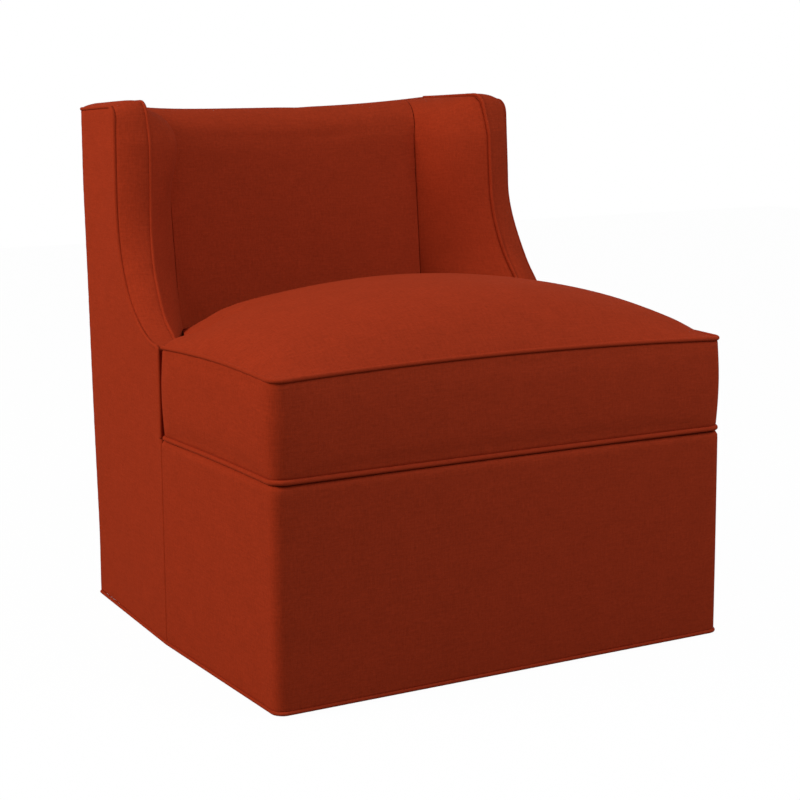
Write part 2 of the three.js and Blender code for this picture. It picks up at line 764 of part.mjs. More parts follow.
// Side rails tie the corner posts to the back posts, low enough to pass under the springs.
const sideRailTop = frameTop - springDrop - clipHeight;
const sideRailFront = cornerPostFront + cornerPostWidth + ease;
const sideRailRear = postFrontAt(sideRailTop - sideRailHeight) - ease;
placePair('side_rail', slab(plumb([
  [frontApronHalf - ease, sideRailFront],
  [plyInnerAt(sideRailRear) - ease, sideRailRear],
  [plyInnerAt(sideRailRear) - ease - sideRailThickness, sideRailRear],
  [frontApronHalf - ease - sideRailThickness, sideRailFront],
]), sideRailTop - sideRailHeight, sideRailTop), 'hardwood');

// Deck: a felted pad on the springs and a cloth over it.
const deckRear = supportAt(frameTop) - ease;

function deckOutline(inset) {
  const half = [
    new THREE.Vector2(0, inset),
    ...frontCorner(inset),
    new THREE.Vector2(seamHalf - inset, seamDepth - ease),
    new THREE.Vector2(plyInnerAt(seamDepth) - ease, seamDepth - ease),
    new THREE.Vector2(plyInnerAt(deckRear) - ease, deckRear),
    new THREE.Vector2(0, deckRear),
  ];
  return wholeOutline(half);
}

const deckInset = shoulderRadius + ease;
place('deck_cloth', slab(deckOutline(deckInset), deckHeight - deckClothThickness, deckHeight), 'lining');
place('deck_pad', slab(deckOutline(deckInset), frameTop + ease, frameTop + ease + padThickness), 'fibre');

// Seat springs: flat zigzag wire, arched up to the pad, with a clip at each end.
const springLevel = frameTop - springDrop;
const springPitch = 2 * (frontApronHalf - cornerPostWidth - springMargin) / (springCount - 1);
const springArch = springDrop - springWire / 2;

function seatSpring(x) {
  const front = apronBack + ease;
  const rear = postFrontAt(springLevel - clipHeight / 2) - ease;
  const start = front + clipDepth / 2;
  const run = rear - clipDepth / 2 - start;
  const steps = springBends * springBendSteps;
  const points = Array.from({ length: steps + 1 }, (_, i) => {
    const share = i / steps;
    const swing = springSwing * Math.sin(Math.PI * springBends * share);
    return new THREE.Vector3(x + swing, start + run * share, springLevel + springArch * arch(share));
  });
  const clipAt = (low, high) => boxBetween(
    new THREE.Vector3(x - clipWidth / 2, low, springLevel - clipHeight / 2),
    new THREE.Vector3(x + clipWidth / 2, high, springLevel + clipHeight / 2),
  );
  return joined([cordAlong(points, springWire / 2, springSides), clipAt(front, front + clipDepth),
    clipAt(rear - clipDepth, rear)]);
}

for (let i = 0; i < springCount; i += 1) {
  place(`seat_spring_${i + 1}`, seatSpring((i - (springCount - 1) / 2) * springPitch), 'steel');
}

// Back webbing: straps up the back, between the springs' clips, and two across them, on the front of
// the posts and rails.
function strap(halfWidth, middle, low, high) {
  const outlineAt = (height) => plumb([
    [middle - halfWidth, supportAt(height)],
    [middle + halfWidth, supportAt(height)],
    [middle + halfWidth, supportAt(height) + webThickness],
    [middle - halfWidth, supportAt(height) + webThickness],
  ]);
  return lofted(outlineAt(low), low, outlineAt(high), high);
}

const webFoot = frameTop - seatRailHeight / 2;
const webHead = topRailTop - webHeadDrop;
const webRows = webRowShares.map((share) => THREE.MathUtils.lerp(deckHeight, rollStart, share));
const crossHalf = plyInnerAt(postRearAt(rollStart)) - postWidth / 2;
place('back_webbing', joined([
  ...Array.from({ length: springCount - 1 }, (_, i) =>
    strap(webWidth / 2, (i - (springCount - 2) / 2) * springPitch, webFoot, webHead)),
  ...webRows.map((height) => strap(crossHalf, 0, height, height + webWidth)),
]), 'webbing');

// Seat cushion: a T-shaped plan. Its ears stand in front of the wings and its flanks follow their inside.
const cushionFoot = deckHeight + ease;
const cushionClear = weltRadius + weltRadius - weltSink + 2 * ease;
const earRear = seamDepth - cushionClear;
const earOuter = cushionHalfWidth - cushionSideTaper;
const notchX = seamHalf - wingFootThickness - cushionClear;
const cushionRear = insideDepth - cushionRearGap;
const cushionSideGap = weltRadius + 2 * ease;
const flankTurn = Math.atan((seamHalf - wingFootThickness - panelHalf) / (insideDepth - seamDepth));
const rearCornerDepth = cushionRear - cushionRearCorner;
const rearCorner = new THREE.Vector2(panelHalf + (insideDepth - rearCornerDepth) * Math.tan(flankTurn)
  - (cushionSideGap + cushionRearCorner) / Math.cos(flankTurn), rearCornerDepth);
const rearCornerX = rearCorner.x + cushionRearCorner / 2;
const drawSteps = 4;

// A straight edge drawn in at its middle, without its start point.
function drawnEdge(from, to, draw, steps) {
  const run = to.clone().sub(from);
  const inward = new THREE.Vector2(-run.y, run.x).normalize();
  return Array.from({ length: steps }, (_, i) => {
    const share = (i + 1) / steps;
    return from.clone().addScaledVector(run, share).addScaledVector(inward, draw * arch(share));
  });
}

function cushionHalf() {
  const corner = new THREE.Vector2(cushionHalfWidth - cushionCornerRadius,
    cushionFrontSet + cushionCornerRadius);
  const front = new THREE.Vector2(0, cushionFrontSet + sideDraw);
  const frontEdge = drawnEdge(new THREE.Vector2(-corner.x, cushionFrontSet),
    new THREE.Vector2(corner.x, cushionFrontSet), sideDraw, 2 * drawSteps).slice(drawSteps);
  const cornerArc = arcPoints(corner, round(cushionCornerRadius), -quarter, 0, cornerSteps).slice(1);
  const earCorner = new THREE.Vector2(earOuter - earCornerRadius, earRear - earCornerRadius);
  const side = drawnEdge(cornerArc[cornerArc.length - 1], new THREE.Vector2(earOuter, earCorner.y), sideDraw,
    drawSteps);
  const earArc = arcPoints(earCorner, round(earCornerRadius), 0, quarter, toeSteps).slice(1);
  const notch = arcPoints(new THREE.Vector2(notchX + notchRadius, earRear + notchRadius), round(notchRadius),
    -quarter, -2 * quarter, toeSteps);
  const rearArc = arcPoints(rearCorner, round(cushionRearCorner), flankTurn, quarter, toeSteps);
  const flank = drawnEdge(notch[notch.length - 1], rearArc[0], sideDraw / 2, drawSteps).slice(0, -1);
  return [front, ...frontEdge, ...cornerArc, ...side, ...earArc, ...notch, ...flank, ...rearArc,
    new THREE.Vector2(zipReach / 2, cushionRear), new THREE.Vector2(0, cushionRear)];
}

const cushionPlan = wholeOutline(cushionHalf());

// The upper welt rises a little at the middle of the front and of the sides.
function weltHeight(p) {
  const across = THREE.MathUtils.clamp(Math.abs(p.x) / cushionHalfWidth, 0, 1);
  const back = THREE.MathUtils.clamp(p.y / earRear, 0, 1);
  const front = frontEdgeRise * (1 - across ** 2) * (1 - back) ** 2;
  const side = sideEdgeRise * arch(back) * across ** sideRiseShare;
  return swoopHeight + front + side;
}

// Height of the crown over the welt. Its sides narrow towards the notches and then follow the flanks.
function crownAt(p) {
  const run = (p.y - cushionFrontSet) / (cushionRear - cushionFrontSet);
  const behind = THREE.MathUtils.clamp((p.y - earRear) / (cushionRear - earRear), 0, 1);
  const flank = THREE.MathUtils.lerp(notchX, rearCornerX, behind);
  const narrowed = smooth((p.y - earRear + crownNarrowing) / crownNarrowing);
  const half = THREE.MathUtils.lerp(cushionHalfWidth, flank, narrowed);
  const across = Math.max(1 - (p.x / half) ** 2, 0) ** crownAcrossShare;
  const along = run < crownPeakShare
    ? 1 - ((crownPeakShare - run) / crownPeakShare) ** crownFrontShare
    : 1 - ((run - crownPeakShare) / (1 - crownPeakShare)) ** crownRearShare;
  return crownHeight * across * Math.max(along, 0);
}

const crownRingShares = [0, 0.28, 0.52, 0.72, 0.87, 0.96, 1];

const topOutline = insetOutline(cushionPlan, weltRadius + ease);

const crownMiddle = new THREE.Vector2(0, THREE.MathUtils.lerp(cushionFrontSet, cushionRear, crownPeakShare));

// Rings of points from the middle of the top towards the edge, a given depth under the crown.
function crownGrid(depth, shares) {
  return shares.map((share) => [...topOutline, topOutline[0]].map((p) => {
    const flat = crownMiddle.clone().lerp(p, share);
    const edge = THREE.MathUtils.lerp(swoopHeight, weltHeight(p), share ** 2);
    const height = edge + crownAt(flat) * (1 - share ** crownEdgeShare);
    return new THREE.Vector3(flat.x, flat.y, height - depth);
  }));
}

place('cushion_top_panel', between(crownGrid(-cover / 2, crownRingShares),
  crownGrid(cover / 2, crownRingShares), true), 'fabric');
place('cushion_top_welt', cordAlong(openLoop(cushionPlan, weltHeight), weltRadius, weltSides), 'welt');
place('cushion_bottom_welt', cordAlong(openLoop(cushionPlan, () => seatWeltHeight), weltRadius, weltSides),
  'welt');
place('cushion_bottom_panel', slab(insetOutline(cushionPlan, weltRadius + ease), cushionFoot,
  cushionFoot + cover), 'fabric');

// Boxing of the cushion: the front band goes round the ears, and the band with the zip closes the back.
const boxingRows = 3;

function bandGrid(run, depth) {
  return Array.from({ length: boxingRows + 1 }, (_, k) => run.map(({ point, inward }) => {
    const low = seatWeltHeight + weltRadius + ease;
    const high = weltHeight(point) - weltRadius - ease;
    const share = k / boxingRows;
    const spot = point.clone().addScaledVector(inward, depth - boxingBulge * arch(share));
    return new THREE.Vector3(spot.x, spot.y, THREE.MathUtils.lerp(low, high, share));
  }));
}

const drawnIn = insetOutline(cushionPlan, cover);
const bandRun = cushionPlan.map((point, i) => ({
  point,
  inward: drawnIn[i].clone().sub(point).divideScalar(cover),
}));
const turnsRear = ({ point }) => point.y >= rearCornerDepth;
const rearStart = bandRun.findIndex(turnsRear);
const rearEnd = bandRun.length - bandRun.slice().reverse().findIndex(turnsRear);
const frontRun = [...bandRun.slice(rearEnd), ...bandRun.slice(0, rearStart)];
const rearRun = bandRun.slice(rearStart, rearEnd);
place('cushion_boxing', between(bandGrid(frontRun, 0), bandGrid(frontRun, cover)), 'fabric');

const zipHeight = (seatWeltHeight + swoopHeight) / 2;
const zipFace = cushionRear + boxingBulge;
const zipRib = boxBetween(new THREE.Vector3(-zipReach, zipFace - cover / 2, zipHeight - zipRibHeight / 2),
  new THREE.Vector3(zipReach, zipFace + zipRibThickness, zipHeight + zipRibHeight / 2));
place('cushion_zip_boxing', joined([
  between(bandGrid(rearRun, 0), bandGrid(rearRun, cover)),
  zipRib,
]), 'zip');

// The zip's slider with its pull hanging from it, closed at one end of the zip.
function zipSlider() {
  const back = zipFace + zipRibThickness + ease;
  const x = zipReach - sliderWidth;
  const body = boxBetween(new THREE.Vector3(x - sliderWidth / 2, back, zipHeight - sliderHeight / 2),
    new THREE.Vector3(x + sliderWidth / 2, back + sliderThickness, zipHeight + sliderHeight / 2));
  const tab = new THREE.Shape(plumb([
    [-pullWidth / 2, -pullLength],
    [pullWidth / 2, -pullLength],
    [pullWidth / 2, 0],
    [-pullWidth / 2, 0],
  ]));
  const hole = arcPoints(new THREE.Vector2(0, pullWidth - pullLength), round(pullHole), 0, -2 * Math.PI,
    pullHoleSides);
  tab.holes.push(new THREE.Path(hole.slice(1)));
  const pull = new THREE.ExtrudeGeometry(tab, { depth: pullThickness, bevelEnabled: false });
  pull.rotateX(quarter).translate(x, back + sliderThickness, zipHeight - sliderHeight / 2 + pullLap);
  return joined([body, pull]);
}

place('zip_slider', zipSlider(), 'steel');

// Filling: a core block with an ear glued to each side, a crown insert on top, a fibre layer over all.
const coreInset = cover + ease + sideDraw + ease;
const coreFoot = cushionFoot + cover + ease;
const fibreThickness = 7;
const earSplit = notchX - coreInset;
const coreTop = swoopHeight - cover / 2 - 2 * ease - fibreThickness;
const coreFront = cushionFrontSet + coreInset;
const coreRear = cushionRear - coreInset;
place('cushion_core', slab(plumb([
  [-earSplit, coreFront],
  [earSplit, coreFront],
  [earSplit, earRear],
  [rearCornerX - cushionRearCorner - coreInset, coreRear],
  [cushionRearCorner + coreInset - rearCornerX, coreRear],
  [-earSplit, earRear],
]), coreFoot, coreTop), 'foam');
const earLimit = earOuter - coreInset;
placePair('cushion_ear', slab(plumb([
  [earSplit + ease, coreFront],
  [cushionHalfWidth - cushionCornerRadius, coreFront],
  [earLimit, cushionFrontSet + cushionCornerRadius],
  [earLimit, earRear - coreInset - earCornerRadius / 2],
  [earSplit + ease, earRear - coreInset - earCornerRadius / 2],
]), coreFoot, coreTop), 'foam');

// The layers under the top take fewer of its rings, so their flatter facets lie inside it.
const fibreShares = crownRingShares.filter((_, i) => i % 2 === 0).slice(0, -1);
const fibreTop = cover / 2 + ease;
place('cushion_fibre', between(crownGrid(fibreTop, fibreShares), crownGrid(fibreTop + fibreThickness,
  fibreShares), true), 'fibre');
const insertTop = crownGrid(fibreTop + fibreThickness + ease, fibreShares);
const insertFoot = insertTop.map((ring) => ring.map((p) => new THREE.Vector3(p.x, p.y, coreTop + ease)));
place('cushion_crown', between(insertTop, insertFoot, true), 'foam');

// The origin is on the floor, at the middle of the chair's width and depth.
const extent = new THREE.Box3().setFromObject(chair);
chair.position.y = -(extent.min.y + extent.max.y) / 2;
chair.updateMatrixWorld(true);

export default chair;
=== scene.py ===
import math

import bmesh
import bpy
import numpy as np
from mathutils import Matrix, Vector


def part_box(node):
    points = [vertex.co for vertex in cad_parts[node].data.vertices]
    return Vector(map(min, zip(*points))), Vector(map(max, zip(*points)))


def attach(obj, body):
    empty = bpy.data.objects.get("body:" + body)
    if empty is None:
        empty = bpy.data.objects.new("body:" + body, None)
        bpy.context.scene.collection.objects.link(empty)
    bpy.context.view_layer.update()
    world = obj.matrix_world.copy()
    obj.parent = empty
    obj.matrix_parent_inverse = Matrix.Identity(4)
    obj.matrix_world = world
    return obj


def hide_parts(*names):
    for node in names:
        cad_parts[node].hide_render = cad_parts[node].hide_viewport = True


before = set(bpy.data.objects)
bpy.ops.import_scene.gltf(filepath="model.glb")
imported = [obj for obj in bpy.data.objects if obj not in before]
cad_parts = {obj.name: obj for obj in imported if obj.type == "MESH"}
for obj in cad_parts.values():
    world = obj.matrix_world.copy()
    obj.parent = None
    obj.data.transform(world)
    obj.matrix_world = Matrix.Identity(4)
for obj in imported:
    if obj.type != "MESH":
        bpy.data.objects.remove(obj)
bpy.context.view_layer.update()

# A slipper chair in a rust-red woven cloth. Metres; the chair faces -Y and its left side is on -X.
# Depths run back from the front face, heights up from the floor.
front_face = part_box("base_cover")[0].y
base_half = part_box("base_cover")[1].x
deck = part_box("base_cover")[1].z
glide_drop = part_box("base_welt")[0].z

# Sizes of the covers
ease = 0.0003
cover = 0.002
piping_radius = 0.0026
base_corner = 0.015
shoulder = 0.009
cover_wave = 0.0006
hem_roll = 0.003
seam_half = base_half - 0.0035
rear_half = base_half - 0.0245
seam_depth = 0.356
rear_depth = 0.648
rear_corner = 0.008
rear_rake = 0.035
rear_fullness = 0.0090
rear_flare = 0.005
rear_head = 0.005
head_start = 0.075
head_reach = 0.050
flare_reach = 0.110
taper = math.atan((seam_half - rear_half) / (rear_depth - seam_depth))
swoop = deck + 0.1295
seat_welt = deck + ease + 0.0025
wing_top = deck + 0.454
wing_fall = 0.006
back_top = wing_top - 0.010
wing_upright = 0.1295
wing_set = rear_depth - seam_depth - 0.1215
swoop_rise = wing_top - wing_upright - swoop
wing_lean = 0.003
wing_tuck = 0.002
tuck_reach = 0.140
forward_swell = {"right": 0.014, "left": -0.004}
swell_foot = 0.050
swell_top = 0.075
swell_reach = 0.120
wing_wave = 0.0008
toe_radius = 0.010
head_radius = 0.020
wing_foot_width = 0.039
wing_head_width = 0.0485
width_rise = 0.230
inner_lead = 0.024
lead_start = 0.010
lead_low_share = 0.65
lead_full = 0.0595
lead_ease = 0.050
lead_top_share = 0.3
lead_rise = 0.055
lead_end = 0.030
lead_fall = 0.060
inner_rise = {"right": 0.0088, "left": 0.0062}
rise_start = 0.045
rise_reach = 0.035
band_crown = 0.005
band_top_crown = 0.004
welt_clear = 0.0038
welt_roll = 0.0065
front_roll = 0.008
seam_roll = 0.0010
side_seam_roll = 0.003
seam_tuck = 0.0013
seam_sink = 0.003
skirt_foot = glide_drop + 0.0035
rear_skin = cover + ease
rear_roll = 0.002
top_roll = 0.003
inside_depth = rear_depth - 0.070
back_half_low = 0.207
back_half_high = 0.2100
back_half_rear = 0.2255
seam_shift = {"right": 0.0, "left": 0.012}
inside_bow = 0.006
inside_lean = 0.105
wing_crown = {"right": 0.015, "left": 0.026}
wing_crown_power = {"right": 2.4, "left": 4.0}
foam_sink = 0.006
foot_fullness = 0.006
foot_rise = 0.030
foot_reach = 0.060
back_sag = 0.0017
climb_power = {"right": 1.8, "left": 5.0}
roll_height = 0.046
roll_shelf = 0.016
roll_start = back_top - roll_height
roll_fullness = 0.0015
roll_blend = 0.060

# Sizes of the seat cushion
cushion_half = base_half - 0.0018
cushion_front = 0.001
cushion_corner = 0.018
rear_round = 0.026
ear_corner = 0.009
notch_radius = 0.006
cushion_clear = 0.0046
ear_clear = 0.0041
ear_rear = seam_depth - ear_clear
ear_half = cushion_half - 0.003
notch = seam_half - wing_foot_width - cushion_clear
cushion_rear = inside_depth - 0.010
draw = 0.0025
band_bulge = 0.0032
crown_height = 0.0850
crown_across = 0.74
crown_across_rear = 0.52
crown_front = 2.9
crown_rear = 2.4
crown_peak = 0.36
crown_edge = 18
crown_narrowing = 0.130
front_rise = 0.0085
side_rise = 0.005
side_rise_power = 6
ear_swell = 0.019
ear_run = 0.075
ear_lap = 0.0036
flank_lap = 0.0110
lap_reach = 0.030
flank_fall = 0.012
flank_rise = 0.004
cushion_slack = 0.0031
cushion_piping_radius = 0.003
low_piping_radius = 0.0035
zip_reach = 0.190
zip_slot = 0.0025
zip_fold = 0.0015

# Clearances of the fillings behind their covers
seam_allowance = 0.008
top_allowance = 0.004
wing_foam_shift = (0.0, 0.0015, -0.0015)
back_foam_shift = (0.0, 0.001, -0.0025)

# Spacing of the points on the covers: closest beside a seam
pitch = 0.009
fine = (0.0, 0.0007, 0.0016, 0.0028, 0.0044, 0.0066, 0.0100, 0.0150)
pucker = 0.00018
pucker_reach = 0.010


def lerp(a, b, t):
    return a + (b - a) * t


def smooth(t):
    t = np.clip(t, 0.0, 1.0)
    return t * t * (3 - 2 * t)


def arch(t):
    return np.sin(np.pi * np.clip(t, 0.0, 1.0))


def arc(centre, radii, start, end, steps=12):
    turn = np.radians(np.linspace(start, end, steps + 1))
    return np.stack([centre[0] + radii[0] * np.cos(turn), centre[1] + radii[1] * np.sin(turn)], 1)


def run(*parts):
    """Points of several parts in one line, without doubled ends."""
    line = np.vstack([np.atleast_2d(np.asarray(part, float)) for part in parts])
    keep = np.r_[True, np.linalg.norm(np.diff(line, axis=0), axis=1) > 1e-7]
    return line[keep]


def lengths(line):
    return np.r_[0.0, np.cumsum(np.linalg.norm(np.diff(line, axis=0), axis=1))]


def resampled(line, shares):
    at = lengths(line)
    return np.stack([np.interp(np.asarray(shares) * at[-1], at, line[:, k]) for k in range(line.shape[1])], 1)


def stations(length, low=True, high=True, step=pitch):
    """Shares of a length, close together at the ends that are sewn."""
    start = np.array(fine if low else (0.0,)) / length
    end = 1 - np.array(fine if high else (0.0,))[::-1] / length
    count = max(int(round((end[0] - start[-1]) * length / step)), 1)
    return np.r_[start[:-1], np.linspace(start[-1], end[0], count + 1), end[1:]]


def patch(bottom, top, left, right, u, v):
    """A grid of points spanned by four border lines."""
    u = u[None, :, None]
    v = v[:, None, None]
    sides = (1 - u) * left[:, None] + u * right[:, None]
    ends = (1 - v) * bottom[None] + v * top[None]
    low = (1 - u) * bottom[0] + u * bottom[-1]
    high = (1 - u) * top[0] + u * top[-1]
    return sides + ends - (1 - v) * low - v * high


def grid_lengths(points):
    """How far each point lies along its row and along its column."""
    across = np.linalg.norm(np.diff(points, axis=1), axis=2)
    down = np.linalg.norm(np.diff(points, axis=0), axis=2)
    return np.pad(np.cumsum(across, 1), ((0, 0), (1, 0))), np.pad(np.cumsum(down, 0), ((1, 0), (0, 0)))


def outward(points, away):
    """Unit normals of a grid, turned away from a point behind it."""
    normal = np.cross(np.gradient(points, axis=0), np.gradient(points, axis=1))
    normal /= np.maximum(np.linalg.norm(normal, axis=2, keepdims=True), 1e-12)
    side = np.sum(normal * (points - np.array(away)))
    return normal if side > 0 else -normal


def rolled(gap, radius, along):
    """Depth of a cloth's edge where it turns into a seam, with small puckers along the stitches."""
    radius = np.maximum(radius, 1e-9)
    near = np.clip(1 - gap / radius, 0.0, 1.0)
    turned = np.minimum(radius * (1 - np.sqrt(1 - near * near)), np.maximum(seam_sink, radius / 2))
    drawn_in = np.exp(-gap / pucker_reach) * np.sin(along * 290) * np.sin(along * 83 + 1.1)
    return turned + np.where(radius > 1e-6, pucker * drawn_in, 0.0)


def sewn(points, away, pad=0.0, left=0.0, right=0.0, low=0.0, high=0.0):
    """A grid padded out by a height and turned in along its borders by a radius for each."""
    across, down = grid_lengths(points)
    depth = (rolled(across, left, down) + rolled(across[:, -1:] - across, right, down)
             + rolled(down, low, across) + rolled(down[-1:] - down, high, across))
    return points + outward(points, away) * (pad - depth)[:, :, None]


def placed(line, height):
    """Plan points as x, y and z in the frame."""
    line = np.asarray(line, float)
    high = np.broadcast_to(np.asarray(height, float), line.shape[:-1])
    return np.stack([line[..., 0], front_face + line[..., 1], high], -1)


def mirrored(points):
    return points * np.array([-1.0, 1.0, 1.0])


def mirrored_plan(line):
    return line * np.array([-1.0, 1.0])


def point_at(line, at, place):
    """The point of a line at a value of the measure that runs along it."""
    return np.array([np.interp(place, at, line[:, k]) for k in range(3)])


# Meshes
def show(name, mesh):
    piece = bpy.data.objects.new(name, mesh)
    bpy.context.scene.collection.objects.link(piece)
    return piece


def finished(name, bm, smooth_faces=True):
    mesh = bpy.data.meshes.new(name)
    bm.to_mesh(mesh)
    bm.free()
    for polygon in mesh.polygons:
        polygon.use_smooth = smooth_faces
    return show(name, mesh)


def add_grid(bm, weave, points, away, turned=0.0, at=None):
    """Lays a grid over an array of points and unrolls it on the weave map."""
    rows, columns = points.shape[:2]
    made = bmesh.ops.create_grid(bm, x_segments=columns - 1, y_segments=rows - 1, size=0.5)["verts"]
    order = sorted(made, key=lambda v: (round(v.co.y, 6), round(v.co.x, 6)))
    if at is None:
        across, down = grid_lengths(points)
        at = np.stack(np.broadcast_arrays(across.mean(0)[None, :], down.mean(1)[:, None]), -1)
    turn = math.radians(turned)
    flat = {}
    for i, vert in enumerate(order):
        row, column = divmod(i, columns)
        u, v = at[row, column]
        flat[vert] = (u * math.cos(turn) - v * math.sin(turn), u * math.sin(turn) + v * math.cos(turn))
    for i, vert in enumerate(order):
        vert.co = points[i // columns, i % columns]
    faces = {face for vert in order for face in vert.link_faces}
    for face in faces:
        for loop in face.loops:
            loop[weave].uv = flat[loop.vert]
    bm.normal_update()
    middle = Vector(away)
    if sum((face.calc_center_median() - middle).dot(face.normal) * face.calc_area() for face in faces) < 0:
        bmesh.ops.reverse_faces(bm, faces=list(faces))


def cloth(name, grids, away, thickness=cover, ats=None):
    """A panel of cloth over one or more grids that share their borders."""
    bm = bmesh.new()
    weave = bm.loops.layers.uv.new("weave")
    grids = grids if isinstance(grids, list) else [grids]
    for i, points in enumerate(grids):
        add_grid(bm, weave, points, away, 0.0, None if ats is None else ats[i])
    if len(grids) > 1:
        bmesh.ops.remove_doubles(bm, verts=bm.verts, dist=1e-6)
    piece = finished(name, bm)
    if thickness:
        wall = piece.modifiers.new("thickness", "SOLIDIFY")
        wall.thickness = thickness
        wall.offset = -1.0
    return piece


def settled(piece, pressure, cap, frames=20):
    """Lets the filling swell a cloth between its seams, by cloth simulation, up to a cap."""
    mesh = piece.data
    uses = {}
    for polygon in mesh.polygons:
        for key in polygon.edge_keys:
            uses[key] = uses.get(key, 0) + 1
    rim = sorted({i for key, count in uses.items() if count == 1 for i in key})
    ring = sorted({i for edge in mesh.edges if set(edge.vertices) & set(rim) for i in edge.vertices})
    seams = piece.vertex_groups.new(name="seams")
    seams.add(ring, 1.0, "REPLACE")
    for other in piece.modifiers:
        other.show_viewport = False
    padding = piece.modifiers.new("padding", "CLOTH")
    padding.settings.vertex_group_mass = "seams"
    padding.settings.quality = 4
    padding.settings.tension_stiffness = 25
    padding.settings.compression_stiffness = 25
    padding.settings.shear_stiffness = 10
    padding.settings.bending_stiffness = 2
    padding.settings.use_pressure = True
    padding.settings.uniform_pressure_force = pressure
    padding.settings.effector_weights.gravity = 0.0
    padding.point_cache.frame_start = 1
    padding.point_cache.frame_end = frames
    for step in range(1, frames + 1):
        bpy.context.scene.frame_set(step)
    seen = piece.evaluated_get(bpy.context.evaluated_depsgraph_get())
    swollen = seen.to_mesh()
    count = 3 * len(mesh.vertices)
    before, after, normals = (np.empty(count, np.float32) for _ in range(3))
    mesh.vertices.foreach_get("co", before)
    mesh.vertices.foreach_get("normal", normals)
    swollen.vertices.foreach_get("co", after)
    seen.to_mesh_clear()
    move = (after - before).reshape(-1, 3)
    normals = normals.reshape(-1, 3)
    move -= normals * np.minimum(np.sum(move * normals, axis=1, keepdims=True), 0.0)
    far = np.linalg.norm(move, axis=1, keepdims=True)
    move *= np.minimum(1.0, cap / np.maximum(far, 1e-9))
    piece.modifiers.remove(padding)
    piece.vertex_groups.remove(seams)
    mesh.vertices.foreach_set("co", (before.reshape(-1, 3) + move).ravel())
    mesh.update()
    for other in piece.modifiers:
        other.show_viewport = True
    bpy.context.scene.frame_set(1)


def piping(name, line, radius=piping_radius, closed=False, sides=12):
    """A welt: a cord in a bias strip along a line of points."""
    line = np.asarray(line, float)
    if closed:
        line = np.vstack([line, line[:1]])
    at = lengths(line)
    count = int(round(at[-1] / 0.004))
    line = resampled(line, np.linspace(0, 1, count + 1))
    tangent = np.gradient(line, axis=0)
    if closed:
        tangent[0] = tangent[-1] = line[1] - line[-2]
    tangent /= np.linalg.norm(tangent, axis=1, keepdims=True)
    side = np.cross(tangent[0], (0.0, 0.0, 1.0) if abs(tangent[0][2]) < 0.9 else (1.0, 0.0, 0.0))
    rings = []
    for i, point in enumerate(line):
        side = side - tangent[i] * side.dot(tangent[i])
        side /= np.linalg.norm(side)
        other = np.cross(tangent[i], side)
        turn = np.linspace(0, 2 * math.pi, sides + 1)
        thick = radius * (1 + 0.02 * math.sin(i * 1.7) * math.sin(i * 0.37))
        rings.append(point + thick * (np.outer(np.cos(turn), side) + np.outer(np.sin(turn), other)))
    if closed:
        rings[-1] = rings[0]
    points = np.array(rings)
    bm = bmesh.new()
    weave = bm.loops.layers.uv.new("weave")
    add_grid(bm, weave, points, points.mean((0, 1)), 45)
    bmesh.ops.remove_doubles(bm, verts=bm.verts, dist=1e-6)
    if not closed:
        bmesh.ops.holes_fill(bm, edges=[e for e in bm.edges if e.is_boundary], sides=sides)
    bmesh.ops.recalc_face_normals(bm, faces=bm.faces)
    return finished(name, bm)


def dress(piece, material, body, slot, *nodes):
    """Gives a piece its finish, the body it moves with and the nodes it stands for."""
    piece.data.materials.clear()
    piece.data.materials.append(material)
    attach(piece, body)
    if nodes:
        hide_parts(*nodes)
    return piece


# Materials
def node(tree, kind, values=None, **settings):
    made = tree.nodes.new(kind)
    for key, value in settings.items():
        setattr(made, key, value)
    for key, value in (values or {}).items():
        if isinstance(value, bpy.types.NodeSocket):
            tree.links.new(value, made.inputs[key])
        else:
            made.inputs[key].default_value = value
    return made


def group(name, inputs, outputs):
    tree = bpy.data.node_groups.new(name, "ShaderNodeTree")
    for label, kind, value in inputs:
        socket = tree.interface.new_socket(label, in_out="INPUT", socket_type=kind)
        if value is not None:
            socket.default_value = value
    for label, kind in outputs:
        tree.interface.new_socket(label, in_out="OUTPUT", socket_type=kind)
    return tree, tree.nodes.new("NodeGroupInput"), tree.nodes.new("NodeGroupOutput")


def math_node(tree, operation, a, b=0.0):
    return node(tree, "ShaderNodeMath", {0: a, 1: b}, operation=operation).outputs[0]


def emptied(owner):
    """The node tree of a new material or of the world, with nothing in it."""
    owner.use_nodes = True
    owner.node_tree.nodes.clear()
    return owner.node_tree


def ended(tree, surface, kind="ShaderNodeOutputMaterial"):
    tree.links.new(surface, node(tree, kind).inputs[0])


